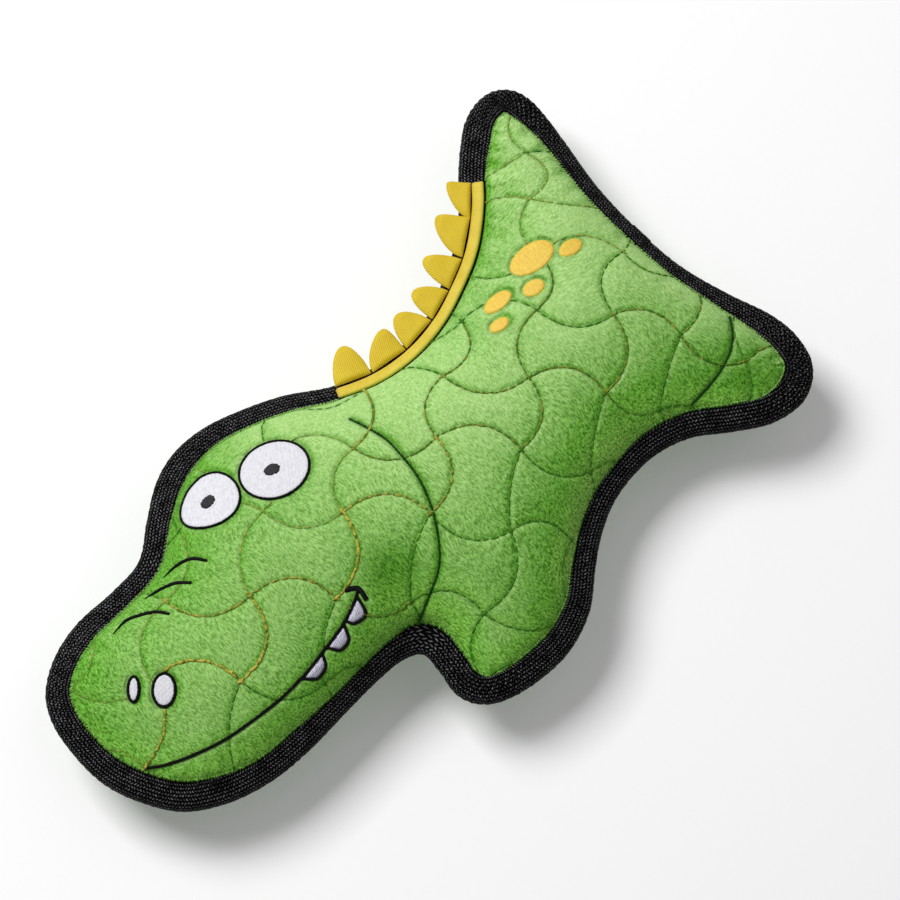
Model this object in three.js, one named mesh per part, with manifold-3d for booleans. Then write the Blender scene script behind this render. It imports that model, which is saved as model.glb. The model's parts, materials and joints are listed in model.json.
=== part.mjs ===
// A stuffed alligator toy for a dog, lying on its back panel with its face up.
// Units are millimetres. +X runs from the snout to the rump, +Y from the feet to the back ridge, and
// +Z comes out of the embroidered face. The origin is under the middle of the toy, on the floor.
import * as THREE from "three";
import { mergeVertices } from "three/addons/utils/BufferGeometryUtils.js";
import Module from "manifold-3d";

const wasm = await Module();
wasm.setup();

// Driving dimensions
const SEAM_HEIGHT = 27; // where the two panels meet, above the floor
const EDGE_RISE = 5.85; // from the seam up to the plush at the inner edge of the webbing
const CROWN_RISE = 21.15; // from there up to the highest point of the plush
const SWELL_POWER = 0.6; // below 1: the sides rise fast and the crown is broad
const FLANGE_START = 2.3; // the panels begin this far inside the outer edge
const FLANGE_RISE = 2.25; // plush surface above the seam at the start of the flange
const PLUSH = 1.2;
const LINING = 0.6;
const CLEARANCE = 0.3;
const STEEPEST = 1.5; // the most that a wall is thickened along Z where the panel is steep
const SETTLE = { gain: 1.32, start: 15.9, bend: 0.0435 }; // how the weight flattens the back panel
const FOLD_HALF = 3.3; // half the thickness of the folded webbing at the outer edge
const WEBBING = 1.2;
const TAPE = { width: 4.6, inset: 0.2, crown: 2.0, shoulder: 1.3, bevel: 0.3 }; // yellow, on the webbing
const RIDGE_RISE = 6.4; // spike hinge lines above the seam
const SPIKE = { half: 1.7, bevel: 1.1, gap: 0.5, clear: 0.5 };
const SPIKE_SIDES = { pinch: 0.4, shoulder: 0.45, round: 0.44, tip: 1 };
const THREAD = { lift: 0.3, thickness: 0.7, border: 1.3, fine: 0.9, wrinkle: 1.6, step: 6, taper: 0.25 };
const OVAL_SIDES = { eye: 20, pupil: 12, nostril: 14, spot: 16 };
const STATION = { length: 12, turn: THREE.MathUtils.degToRad(16) }; // most between two webbing sections
const NET = { pitch: 12.5, clear: 6.3, alongSeam: 0.7, leastGap: 0.62 }; // points that carry a panel's shape
const MEMBRANE = { pitch: 1.5, half: [156, 93], overshoot: 1.92, sweeps: 350 };
const SEAM_DIP = { depth: 2.2, reach: 4.5 };
const BEYOND = [200, 120]; // half extents of a block larger than the toy

// Outer edge of the webbing, clockwise from the snout: x, y and how far the webbing reaches inwards
const OUTLINE = [
  [-144.7, 36.1, 9.5], [-134.1, 43.5, 9.5], [-119, 47.5, 9.5], [-100, 47.1, 9], [-85.9, 48.4, 9],
  [-72.5, 57.8, 9.5], [-60.1, 65.8, 10.5], [-48, 69.3, 10.5], [-33.9, 68.6, 9.5], [-17.9, 63.3, 8.5],
  [-3.1, 56.3, 8], [13, 45.6, 7.3], [28, 40.3, 8.3], [43, 38.5, 8.6], [57, 40, 8.6],
  [70, 45, 9.4], [83, 51.5, 9.9], [96, 61.5, 10], [105.9, 71.6, 10], [115, 79.5, 11],
  [123, 85, 11], [131, 87.4, 11], [137.5, 87, 11], [142.5, 84.3, 11], [146, 79.5, 11],
  [147.3, 73, 11], [146.6, 64, 9.5], [144.5, 52.1, 8], [140.3, 30.1, 7], [138.9, 9, 6.5],
  [139.9, -14, 6.5], [144.8, -34.8, 8], [150, -50.9, 10.5], [151.3, -61, 11], [150.2, -69.6, 11],
  [147.8, -75.7, 11], [142.5, -81, 11], [134, -84.1, 11], [120.7, -81.7, 9], [107.6, -73.6, 8.5],
  [94.4, -63.8, 8], [80.8, -59.1, 7.8], [67.1, -58.7, 7], [55.3, -60.9, 7.5], [43.4, -66.3, 8],
  [32.5, -73.7, 8.5], [19.7, -83.3, 9], [4.3, -88.4, 9.5], [-10.1, -88.4, 9.5], [-22.8, -85.7, 9],
  [-30.1, -82.2, 8.8], [-35, -77, 9.6], [-37.2, -70, 10.2], [-35.6, -60, 10], [-35.4, -50.9, 10],
  [-42.4, -47.2, 7.5], [-54.2, -46.1, 6.5], [-70.9, -46.3, 6.5], [-90, -46.8, 8], [-107.3, -45.2, 8],
  [-123.5, -40.1, 9], [-137.8, -30.8, 10], [-146.3, -18.1, 10], [-151.9, -2.2, 10], [-152.1, 15.1, 9.5],
  [-149.7, 27.2, 9.5],
];
const RIDGE_FROM = [13, 45.6]; // the outline point where the spikes and the tape start
const RIDGE_LENGTH = 104;

// Spikes along the ridge seam: where the base starts and ends, how far the tip leans and stands out
const SPIKES = [
  [0, 15.3, 0.6, 14.2],
  [15.3, 31.3, 4.2, 12.2],
  [31.3, 46.2, 0, 12.1],
  [46.2, 59.8, -0.6, 12.2],
  [59.8, 73.6, 0.6, 14],
  [73.6, 89.3, 4.7, 13.5],
  [89.3, 103, 5.6, 9.8],
];

// Sewn lines that part the head from the body and the hind foot from the rump
const HEAD_LINE = [[4.5, 33], [8, 20], [9, 10], [7.7, -2], [4, -14.6], [-3, -26.5], [-11, -35], [-22, -40.5]];
const FOOT_LINE = [[136, -43], [130, -49.5], [121, -54.3], [111, -56], [101.5, -56]];

// Embroidery on the face panel
const EYES = {
  right: { at: [-27.6, 33.6], size: [13.4, 11.6], turn: -24, egg: 0, pupil: [-28.1, 34.8, -24] },
  left: { at: [-52.8, 43.2], size: [12.6, 10.8], turn: -8, egg: 0.18, pupil: [-53.3, 43.1, -4] },
};
const PUPIL = [3.1, 1.9];
const NOSTRILS = {
  near: { at: [-113.1, 3.6], size: [6.6, 4.8], turn: 45 },
  far: { at: [-120.6, 12], size: [5.2, 2.7], turn: 45 },
};
const SPOTS = [
  [97.9, 24.6, 9.6, 5.8, -8],
  [111.1, 17.1, 4.6, 2.9, -8],
  [89.8, 15.7, 4.3, 2.9, -10],
  [76.5, 21.4, 6.2, 3.4, -5],
  [69.7, 14.7, 4.2, 2.6, -10],
];
const MOUTH = [
  [-137, -10.8], [-131.4, -15.1], [-123, -19.6], [-110, -24.3], [-90, -27.7], [-76, -28.3],
  [-63, -27], [-50, -25], [-42, -22.4], [-37.8, -20.4],
];
const MOUTH_CORNER = [[-41.5, -17.2], [-37.6, -20], [-38.1, -25]];
const TEETH = [
  [[-48.8, -25], [-46.6, -28.4], [-41.2, -29.2], [-39.8, -22]],
  [[-60.4, -27], [-56.6, -31.6], [-52, -31.2], [-50.2, -25.4]],
  [[-74.6, -28.6], [-69.6, -33], [-64.6, -32], [-63.2, -27.4]],
];
const WRINKLES = [
  [[-84.4, 35.5], [-78.1, 34.9], [-72.6, 32.4], [-69.2, 27.2]],
  [[-94.7, 35], [-87.9, 32.7], [-82.6, 29.9], [-78.9, 25.6]],
  [[-112, 33.6], [-105, 33.6], [-99.7, 30.9], [-95.2, 27.4], [-92.5, 23.1]],
];

// Lines along which the stuffing is divided, each followed by corners far outside the toy
const HEAD_CUT = [
  [6, 70], [5, 33], [8, 20], [9, 10], [7.7, -2], [4, -14.6], [-3, -26.5], [-12, -36], [-38, -52],
];
const HEAD_FAR = [[-60, -52], [-200, -52], [-200, 100], [6, 100]];
const TAIL_CUT = [[70, 46], [100, 47], [125, 44], [160, 38]];
const TAIL_FAR = [[200, 120], [70, 120]];
const FRONT_FOOT_CUT = [[60, -58], [35, -61], [5, -61], [-20, -57], [-38, -52]];
const FRONT_FOOT_FAR = [[-60, -52], [-60, -120], [60, -120]];
const HIND_FOOT_CUT = [[165, -36], [137, -42], [130, -49.5], [121, -54.3], [108, -56], [88, -54]];
const HIND_FOOT_FAR = [[88, -120], [200, -120], [200, -36]];

const SQUEAKER = {
  at: [52, -6],
  bulb: [
    [0, -10], [15, -9.4], [20.5, -6], [22, 0], [20.5, 6], [15, 9.4], [6, 10], [6, 15], [4.8, 15],
    [4.8, 8.8], [14.6, 8.2], [19.5, 5.2], [20.8, 0], [19.5, -5.2], [14.6, -8.2], [0, -8.8],
  ],
  holder: [[2.6, 6], [4.5, 6], [4.5, 15.3], [6, 15.3], [6, 16.5], [2.6, 16.5], [2.6, 6]],
  reed: [4.2, 0.6, 8],
  reedAt: 11,
  sides: { bulb: 24, holder: 16 },
  room: [
    [0, -10.6], [15.3, -10], [21.1, -6.3], [22.6, 0], [21.1, 6.3], [15.3, 10], [6.8, 10.6],
    [6.8, 17.2], [0, 17.2],
  ],
};

const MATERIALS = {
  plush: { color: 0x6eaf48, roughness: 0.95 },
  lining: { color: 0xd9d6cc, roughness: 0.95 },
  webbing: { color: 0x1c1c1d, roughness: 0.8 },
  ridge_fabric: { color: 0xe9c13c, roughness: 0.75 },
  black_thread: { color: 0x151515, roughness: 0.55 },
  white_thread: { color: 0xf0f0f3, roughness: 0.6 },
  yellow_thread: { color: 0xf4b942, roughness: 0.55 },
  tooth_thread: { color: 0xc9c9d8, roughness: 0.6 },
  fibre: { color: 0xf3f1ea, roughness: 1 },
  soft_plastic: { color: 0xe4e2da, roughness: 0.5 },
  hard_plastic: { color: 0xb9bcc0, roughness: 0.4 },
};

const toy = new THREE.Group();

// Solids

function solid(points, faces) {
  let volume = 0;
  for (const [a, b, c] of faces) volume += points[a].dot(points[b].clone().cross(points[c]));
  const outward = volume > 0 ? faces : faces.map(([a, b, c]) => [a, c, b]);
  const vertProperties = new Float32Array(points.flatMap((p) => p.toArray()));
  const triVerts = new Uint32Array(outward.flat());
  return new wasm.Manifold(new wasm.Mesh({ numProp: 3, vertProperties, triVerts }));
}

function solidFrom(geometry) {
  for (const name of ["normal", "uv"]) geometry.deleteAttribute(name);
  const merged = mergeVertices(geometry, 1e-4);
  const at = merged.attributes.position;
  const points = Array.from({ length: at.count }, (_, i) => new THREE.Vector3().fromBufferAttribute(at, i));
  const faces = [];
  for (let i = 0; i < merged.index.count; i += 3) {
    const face = [0, 1, 2].map((k) => merged.index.getX(i + k));
    if (new Set(face).size === 3) faces.push(face);
  }
  return solid(points, faces);
}

function prism(outline, low, high) {
  const shape = new THREE.Shape(outline.map(([x, y]) => new THREE.Vector2(x, y)));
  const geometry = new THREE.ExtrudeGeometry(shape, { depth: high - low, bevelEnabled: false });
  return solidFrom(geometry.translate(0, 0, low));
}

function turned(profile, sides) {
  const points = profile.map(([r, y]) => new THREE.Vector2(r, y));
  return solidFrom(new THREE.LatheGeometry(points, sides).rotateX(Math.PI / 2));
}

// Joins matching rings of points into a tube, closed on itself or capped at both ends.
function sweep(rings, closed) {
  const size = rings[0].length;
  const faces = [];
  const spans = closed ? rings.length : rings.length - 1;
  for (let i = 0; i < spans; i++) {
    const here = i * size;
    const next = ((i + 1) % rings.length) * size;
    for (let j = 0; j < size; j++) {
      const k = (j + 1) % size;
      faces.push([here + j, next + j, next + k], [here + j, next + k, here + k]);
    }
  }
  if (!closed) {
    const last = (rings.length - 1) * size;
    for (let j = 1; j < size - 1; j++) faces.push([0, j, j + 1], [last, last + j + 1, last + j]);
  }
  return solid(rings.flat(), faces);
}

function add(name, body, slot, parent = toy) {
  const { numProp, vertProperties, triVerts } = body.getMesh();
  const geometry = new THREE.BufferGeometry();
  geometry.setAttribute("position", new THREE.BufferAttribute(vertProperties.slice(), numProp));
  geometry.setIndex(new THREE.BufferAttribute(triVerts.slice(), 1));
  geometry.computeVertexNormals();
  const mesh = new THREE.Mesh(geometry, new THREE.MeshStandardMaterial({ ...MATERIALS[slot], metalness: 0 }));
  mesh.name = name;
  parent.add(mesh);
  return mesh;
}

// Outline

const curve = new THREE.CatmullRomCurve3(
  OUTLINE.map((row) => new THREE.Vector3(...row)),
  true,
  "centripetal",
);
const fine = curve.getPoints(OUTLINE.length * 12).slice(0, -1).map(({ x, y, z }, i, all) => {
  const after = all[(i + 1) % all.length];
  const before = all.at(i - 1);
  const along = new THREE.Vector2(after.x - before.x, after.y - before.y).normalize();
  const step = Math.hypot(x - before.x, y - before.y);
  return { x, y, width: z, along, inward: new THREE.Vector2(along.y, -along.x), step };
});

const inside = ({ x, y, inward }, depth) => [x + inward.x * depth, y + inward.y * depth];

function pickStations() {
  const picked = [];
  let run = Infinity;
  let turn = 0;
  fine.forEach((point, i) => {
    run += point.step;
    turn += fine.at(i - 1).along.cross(point.along);
    if (run < STATION.length && Math.abs(turn) < STATION.turn) return;
    picked.push(point);
    run = 0;
    turn = 0;
  });
  return picked;
}
const stations = pickStations();

// Swelling of the panels: a membrane held along the inner edge of the webbing and pushed up evenly

const rim = stations.map((s) => inside(s, s.width + CLEARANCE));
const closeRim = fine.map((s) => inside(s, s.width + CLEARANCE));

function within(polygon, x, y) {
  let odd = false;
  polygon.forEach(([ax, ay], i) => {
    const [bx, by] = polygon[(i + 1) % polygon.length];
    if (ay > y !== by > y && x < ax + ((y - ay) * (bx - ax)) / (by - ay)) odd = !odd;
  });
  return odd;
}

function distanceTo(line, x, y, closed) {
  let best = Infinity;
  const spans = closed ? line.length : line.length - 1;
  for (let i = 0; i < spans; i++) {
    const [ax, ay] = line[i];
    const [bx, by] = line[(i + 1) % line.length];
    const dx = bx - ax;
    const dy = by - ay;
    const t = THREE.MathUtils.clamp(((x - ax) * dx + (y - ay) * dy) / (dx * dx + dy * dy), 0, 1);
    best = Math.min(best, Math.hypot(x - ax - t * dx, y - ay - t * dy));
  }
  return best;
}

function relaxMembrane() {
  const { pitch, half, overshoot, sweeps } = MEMBRANE;
  const [columns, rows] = half.map((h) => (2 * h) / pitch + 1);
  const held = new Uint8Array(columns * rows).fill(1);
  const height = new Float64Array(columns * rows);
  for (let i = 1; i < columns - 1; i++) {
    for (let j = 1; j < rows - 1; j++) {
      if (within(closeRim, i * pitch - half[0], j * pitch - half[1])) held[i * rows + j] = 0;
    }
  }
  for (let n = 0; n < sweeps; n++) {
    for (let k = rows; k < height.length - rows; k++) {
      if (held[k]) continue;
      const around = height[k - 1] + height[k + 1] + height[k - rows] + height[k + rows];
      height[k] += overshoot * ((around + pitch * pitch) / 4 - height[k]);
    }
  }
  const highest = height.reduce((a, b) => Math.max(a, b));
  return (x, y) => {
    const u = (x + half[0]) / pitch;
    const v = (y + half[1]) / pitch;
    const i = Math.floor(u);
    const j = Math.floor(v);
    const k = i * rows + j;
    const near = height[k] * (j + 1 - v) + height[k + 1] * (v - j);
    const far = height[k + rows] * (j + 1 - v) + height[k + rows + 1] * (v - j);
    return (near * (i + 1 - u) + far * (u - i)) / highest;
  };
}
const membrane = relaxMembrane();

const swell = (x, y) => CROWN_RISE * Math.max(0, membrane(x, y)) ** SWELL_POWER;

// The face panel is drawn in along its sewn lines.
function faceRise(x, y) {
  const away = Math.min(distanceTo(HEAD_LINE, x, y), distanceTo(FOOT_LINE, x, y));
  const rise = swell(x, y);
  return rise - Math.min(SEAM_DIP.depth, rise / 3) * Math.exp(-((away / SEAM_DIP.reach) ** 2));
}

// The back panel is fuller and flattens where the toy lies on it.
function backRise(x, y) {
  const full = SETTLE.gain * swell(x, y);
  const pressed = Math.max(0, full - SETTLE.start);
  return Math.min(full - SETTLE.bend * pressed ** 2, CROWN_RISE);
}

// Net of points and triangles that carries every layer of both panels

function delaunay(points) {
  const big = 5000;
  const all = [...points, [-big, -big], [big, -big], [0, big]];
  const count = points.length;
  const circle = (a, b, c) => {
    const [ax, ay] = all[a];
    const bx = all[b][0] - ax;
    const by = all[b][1] - ay;
    const cx = all[c][0] - ax;
    const cy = all[c][1] - ay;
    const d = 2 * (bx * cy - by * cx);
    const ux = (cy * (bx * bx + by * by) - by * (cx * cx + cy * cy)) / d;
    const uy = (bx * (cx * cx + cy * cy) - cx * (bx * bx + by * by)) / d;
    return { corners: [a, b, c], x: ax + ux, y: ay + uy, r: Math.hypot(ux, uy) };
  };
  let triangles = [circle(count, count + 1, count + 2)];
  points.forEach(([x, y], i) => {
    const struck = triangles.filter((t) => Math.hypot(t.x - x, t.y - y) < t.r);
    const edges = struck.flatMap(({ corners: [a, b, c] }) => [[a, b], [b, c], [c, a]]);
    const hull = edges.filter(([a, b]) => !edges.some(([c, d]) => a === d && b === c));
    triangles = triangles.filter((t) => !struck.includes(t));
    triangles.push(...hull.map(([a, b]) => circle(a, b, i)));
  });
  return triangles.map((t) => t.corners).filter((corners) => corners.every((c) => c < count));
}

function spread(line, pitch) {
  const path = new THREE.CatmullRomCurve3(line.map(([x, y]) => new THREE.Vector3(x, y, 0)));
  return path.getSpacedPoints(Math.round(path.getLength() / pitch)).map(({ x, y }) => [x, y]);
}

function makeNet() {
  const points = [...rim];
  const open = ([x, y], room) =>
    within(rim, x, y) &&
    distanceTo(rim, x, y, true) > NET.clear &&
    points.every(([a, b], i) => i < rim.length || Math.hypot(a - x, b - y) > room);
  for (const line of [HEAD_LINE, FOOT_LINE]) {
    points.push(...spread(line, NET.pitch * NET.alongSeam).filter((point) => open(point, 0)));
  }
  const rowPitch = NET.pitch * Math.sqrt(0.75);
  const columns = Math.ceil(MEMBRANE.half[0] / NET.pitch);
  const rows = Math.ceil(MEMBRANE.half[1] / rowPitch);
  for (let row = -rows; row <= rows; row++) {
    for (let column = -columns; column <= columns; column++) {
      const point = [(column + (row % 2 ? 0.5 : 0)) * NET.pitch, row * rowPitch];
      if (open(point, NET.pitch * NET.leastGap)) points.push(point);
    }
  }
  const faces = delaunay(points).filter((face) => {
    const middle = [0, 1].map((axis) => face.reduce((sum, k) => sum + points[k][axis] / 3, 0));
    return within(rim, ...middle);
  });
  return { points, faces };
}
const net = makeNet();

const flangeFaces = stations.flatMap((_, i) => {
  const next = (i + 1) % stations.length;
  const start = net.points.length;
  return [[start + i, i, next], [start + i, next, start + next]];
});
const panelFaces = [...net.faces, ...flangeFaces];

// One surface of a layered panel, at a depth below the outside of the plush.
function surface(side, depth) {
  const rise = side > 0 ? faceRise : backRise;
  const inner = net.points.map(([x, y], i) => {
    const onRim = i < rim.length;
    const up = onRim ? 0 : rise(x, y);
    const across = onRim ? 0 : (rise(x + 1, y) - rise(x - 1, y)) / 2;
    const along = onRim ? 0 : (rise(x, y + 1) - rise(x, y - 1)) / 2;
    const thicken = Math.min(STEEPEST, Math.hypot(1, across, along));
    return new THREE.Vector3(x, y, SEAM_HEIGHT + side * (EDGE_RISE + up - depth * thicken));
  });
  const flange = stations.map((s) => {
    const [x, y] = inside(s, FLANGE_START);
    return new THREE.Vector3(x, y, SEAM_HEIGHT + side * (FLANGE_RISE - depth));
  });
  return [...inner, ...flange];
}

function between(upper, lower, faces) {
  const count = upper.length;
  const edges = new Map();
  for (const [a, b, c] of faces) {
    for (const [from, to] of [[a, b], [b, c], [c, a]]) edges.set(from + "," + to, [from, to]);
  }
  const closed = [...faces, ...faces.map(([a, b, c]) => [a + count, c + count, b + count])];
  for (const [from, to] of edges.values()) {
    if (edges.has(to + "," + from)) continue;
    closed.push([to, from, from + count], [to, from + count, to + count]);
  }
  const used = [...new Set(closed.flat())].sort((a, b) => a - b);
  const renumbered = new Map(used.map((k, i) => [k, i]));
  const both = [...upper, ...lower];
  return solid(
    used.map((k) => both[k]),
    closed.map((face) => face.map((k) => renumbered.get(k))),
  );
}

const LINING_OUTER = PLUSH + CLEARANCE;
const LINING_INNER = LINING_OUTER + LINING;
const FILL_OUTER = LINING_INNER + CLEARANCE;

add("front_cover", between(surface(1, 0), surface(1, PLUSH), panelFaces), "plush");
add("front_lining", between(surface(1, LINING_OUTER), surface(1, LINING_INNER), panelFaces), "lining");
add("back_lining", between(surface(-1, LINING_INNER), surface(-1, LINING_OUTER), panelFaces), "lining");
add("back_cover", between(surface(-1, PLUSH), surface(-1, 0), panelFaces), "plush");

// Black webbing folded over the joined edges

const LEG_END = EDGE_RISE + CLEARANCE;
const at3 = (station, depth, z) => new THREE.Vector3(...inside(station, depth), SEAM_HEIGHT + z);
const FOLD_OUTSIDE = [[0.9, FOLD_HALF], [0, 1.2]];
const FOLD_INSIDE = [[1.25, 0.9], [1.9, FOLD_HALF - 0.75]];
const webbingRings = stations.map((s) => {
  const top = [[s.width, LEG_END + WEBBING], ...FOLD_OUTSIDE];
  const bottom = top.map(([u, z]) => [u, -z]).reverse();
  const inner = [...FOLD_INSIDE, [s.width, LEG_END]];
  const innerBottom = inner.map(([u, z]) => [u, -z]).reverse();
  return [...top, ...bottom, ...innerBottom, ...inner].map(([u, z]) => at3(s, u, z));
});
add("edge_webbing", sweep(webbingRings, true), "webbing");

// Height of the outside of the webbing's upper leg
function legTop(station, depth) {
  const [start, low] = FOLD_OUTSIDE[0];
  const high = LEG_END + WEBBING;
  return low + ((high - low) * (depth - start)) / (station.width - start);
}

// Yellow tape and spikes along the back ridge

const ridgeStart = fine.findIndex((p) => Math.hypot(p.x - RIDGE_FROM[0], p.y - RIDGE_FROM[1]) < 0.01);
const seamDepth = (point) => point.width - TAPE.inset - TAPE.width;
const ridge = [];
for (let i = ridgeStart, run = 0; run < RIDGE_LENGTH; i++) {
  const [x, y] = inside(fine[i], seamDepth(fine[i]));
  if (ridge.length) run += Math.hypot(x - ridge.at(-1).x, y - ridge.at(-1).y);
  ridge.push({ x, y, run, station: fine[i] });
}
const ridgeStations = stations.filter((s) => ridge.some((point) => point.station === s));

const tapeRings = ridgeStations.map((s) => {
  const outer = seamDepth(s);
  const inner = s.width - TAPE.inset;
  const section = [
    [outer, CLEARANCE],
    [inner, CLEARANCE],
    [inner, CLEARANCE + TAPE.shoulder],
    [inner - TAPE.width * TAPE.bevel, CLEARANCE + TAPE.crown],
    [outer + TAPE.width * TAPE.bevel, CLEARANCE + TAPE.crown],
    [outer, CLEARANCE + TAPE.shoulder],
  ];
  return section.map(([u, above]) => at3(s, u, legTop(s, u) + above));
});
add("ridge_tape", sweep(tapeRings, false), "ridge_fabric");

function spikeBody(halfWidth, lean, reach) {
  const { half, bevel, clear } = SPIKE;
  const { pinch, shoulder, round, tip } = SPIKE_SIDES;
  const foot = -half + bevel;
  const side = halfWidth - bevel;
  const top = reach - clear - half - bevel;
  const shape = new THREE.Shape();
  shape.moveTo(-side, foot);
  shape.lineTo(side, foot);
  shape.bezierCurveTo(side - pinch, top * shoulder, lean + side * round, top, lean + tip, top);
  shape.lineTo(lean - tip, top);
  shape.bezierCurveTo(lean - side * round, top, pinch - side, top * shoulder, -side, foot);
  const depth = 2 * (half - bevel);
  const settings = { depth, bevelSize: bevel, bevelThickness: bevel, bevelSegments: 2, curveSegments: 5 };
  return solidFrom(new THREE.ExtrudeGeometry(shape, settings).translate(0, 0, -depth / 2));
}

SPIKES.forEach(([start, end, lean, reach], i) => {
  const [from, to] = [start, end].map((run) => ridge.find((point) => point.run >= run));
  const chord = new THREE.Vector2(to.x - from.x, to.y - from.y);
  const outward = new THREE.Vector2(-chord.y, chord.x).normalize();
  const offset = SPIKE.clear + SPIKE.half;
  const hinge = new THREE.Group();
  hinge.position.set((from.x + to.x) / 2, (from.y + to.y) / 2, SEAM_HEIGHT + RIDGE_RISE);
  hinge.position.add(new THREE.Vector3(outward.x * offset, outward.y * offset, 0));
  hinge.rotation.z = chord.angle();
  toy.add(hinge);
  add("spike_" + (i + 1), spikeBody(chord.length() / 2 - SPIKE.gap, lean, reach), "ridge_fabric", hinge);
});

// Stuffing and squeaker

const whole = between(surface(1, FILL_OUTER), surface(-1, FILL_OUTER), net.faces);
const TALL = [-10, SEAM_HEIGHT + 60];

// The region beyond a cut line, drawn back from it by half the gap between neighbours.
function region(cut, far, sign) {
  const shifted = cut.map(([x, y], i) => {
    const [ax, ay] = cut[Math.max(0, i - 1)];
    const [bx, by] = cut[Math.min(cut.length - 1, i + 1)];
    const length = Math.hypot(bx - ax, by - ay);
    const half = (sign * CLEARANCE) / 2;
    return [x - ((by - ay) / length) * half, y + ((bx - ax) / length) * half];
  });
  return prism([...shifted, ...far], ...TALL);
}

const CUTS = {
  head: [HEAD_CUT, HEAD_FAR, -1],
  tail: [TAIL_CUT, TAIL_FAR, 1],
  front_foot: [FRONT_FOOT_CUT, FRONT_FOOT_FAR, 1],
  hind_foot: [HIND_FOOT_CUT, HIND_FOOT_FAR, 1],
};
let trunk = whole;
for (const [name, [cut, far, sign]] of Object.entries(CUTS)) {
  add("stuffing_" + name, whole.intersect(region(cut, far, sign)), "fibre");
  trunk = trunk.subtract(region(cut, far, -sign));
}
const [squeakerX, squeakerY] = SQUEAKER.at;
const placed = (body) => body.rotate([180, 0, 0]).translate([squeakerX, squeakerY, SEAM_HEIGHT]);
const { sides } = SQUEAKER;
trunk = trunk.subtract(placed(turned(SQUEAKER.room, sides.bulb)));
const [farX, farY] = BEYOND;
const slab = (low, high) => prism([[-farX, -farY], [farX, -farY], [farX, farY], [-farX, farY]], low, high);
const halfGap = CLEARANCE / 2;
add("stuffing_body_front", trunk.intersect(slab(SEAM_HEIGHT + halfGap, TALL[1])), "fibre");
add("stuffing_body_back", trunk.intersect(slab(TALL[0], SEAM_HEIGHT - halfGap)), "fibre");
add("squeaker_bulb", placed(turned(SQUEAKER.bulb, sides.bulb)), "soft_plastic");
add("squeaker_reed_holder", placed(turned(SQUEAKER.holder, sides.holder)), "hard_plastic");
const reed = new THREE.BoxGeometry(...SQUEAKER.reed).translate(0, 0, SQUEAKER.reedAt);
add("squeaker_reed", placed(solidFrom(reed)), "hard_plastic");

// Embroidery: patches cut from a thin layer that follows the face panel

const threadLayer = (low) => between(surface(1, -low - THREAD.thickness), surface(1, -low), net.faces);
const firstLayer = threadLayer(THREAD.lift);
const secondLayer = threadLayer(2 * THREAD.lift + THREAD.thickness);
const sewn = (outline, layer = firstLayer) => layer.intersect(prism(outline, ...TALL));

function oval(count, [x, y], [a, b], degrees, inset = 0, egg = 0) {
  const turn = THREE.MathUtils.degToRad(degrees);
  return Array.from({ length: count }, (_, k) => {
    const angle = (k / count) * 2 * Math.PI;
    const u = (a - inset) * Math.cos(angle);
    const v = (b - inset) * Math.sin(angle) * (1 + egg * Math.cos(angle));
    return [x + u * Math.cos(turn) - v * Math.sin(turn), y + u * Math.sin(turn) + v * Math.cos(turn)];
  });
}

function stroke(line, width, taper) {
  const points = spread(line, THREAD.step);
  const edges = [1, -1].map((sign) =>
    points.map(([x, y], i) => {
      const [ax, ay] = points[Math.max(0, i - 1)];
      const [bx, by] = points[Math.min(points.length - 1, i + 1)];
      const length = Math.hypot(bx - ax, by - ay);
      const atEnd = taper && (i === 0 || i === points.length - 1);
      const half = (sign * width * (atEnd ? THREAD.taper : 1)) / 2;
      return [x - ((by - ay) / length) * half, y + ((bx - ax) / length) * half];
    }),
  );
  return [...edges[0], ...edges[1].reverse()];
}

// A white patch in a black border, from a function that gives the outline at an inset.
function addBordered(name, outline) {
  const border = sewn(outline(0)).subtract(prism(outline(THREAD.border), ...TALL));
  add(name + "_border", border, "black_thread");
  add(name + "_white", sewn(outline(THREAD.border + CLEARANCE)), "white_thread");
}

for (const [name, { at, size, turn, egg, pupil }] of Object.entries(EYES)) {
  addBordered(name + "_eye", (inset) => oval(OVAL_SIDES.eye, at, size, turn, inset, egg));
  const [x, y, pupilTurn] = pupil;
  const dark = oval(OVAL_SIDES.pupil, [x, y], PUPIL, pupilTurn);
  add(name + "_pupil", sewn(dark, secondLayer), "black_thread");
}
for (const [name, { at, size, turn }] of Object.entries(NOSTRILS)) {
  addBordered(name + "_nostril", (inset) => oval(OVAL_SIDES.nostril, at, size, turn, inset));
}
SPOTS.forEach(([x, y, a, b, turn], i) => {
  add("spot_" + (i + 1), sewn(oval(OVAL_SIDES.spot, [x, y], [a, b], turn)), "yellow_thread");
});
WRINKLES.forEach((line, i) => {
  add("nose_wrinkle_" + (i + 1), sewn(stroke(line, THREAD.wrinkle, true)), "black_thread");
});

// A convex outline, clockwise or not, drawn in evenly by moving each of its sides.
function drawnIn(outline, by) {
  const count = outline.length;
  const area = outline.reduce((sum, [x, y], i) => {
    const [nx, ny] = outline[(i + 1) % count];
    return sum + x * ny - nx * y;
  }, 0);
  const shift = by * Math.sign(area);
  const edges = outline.map(([x, y], i) => {
    const [nx, ny] = outline[(i + 1) % count];
    const length = Math.hypot(nx - x, ny - y);
    const [dx, dy] = [(nx - x) / length, (ny - y) / length];
    return { x: x - dy * shift, y: y + dx * shift, dx, dy };
  });
  return edges.map((side, i) => {
    const before = edges.at(i - 1);
    const across = before.dx * side.dy - before.dy * side.dx;
    const t = ((side.x - before.x) * side.dy - (side.y - before.y) * side.dx) / across;
    return [before.x + before.dx * t, before.y + before.dy * t];
  });
}

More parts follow.
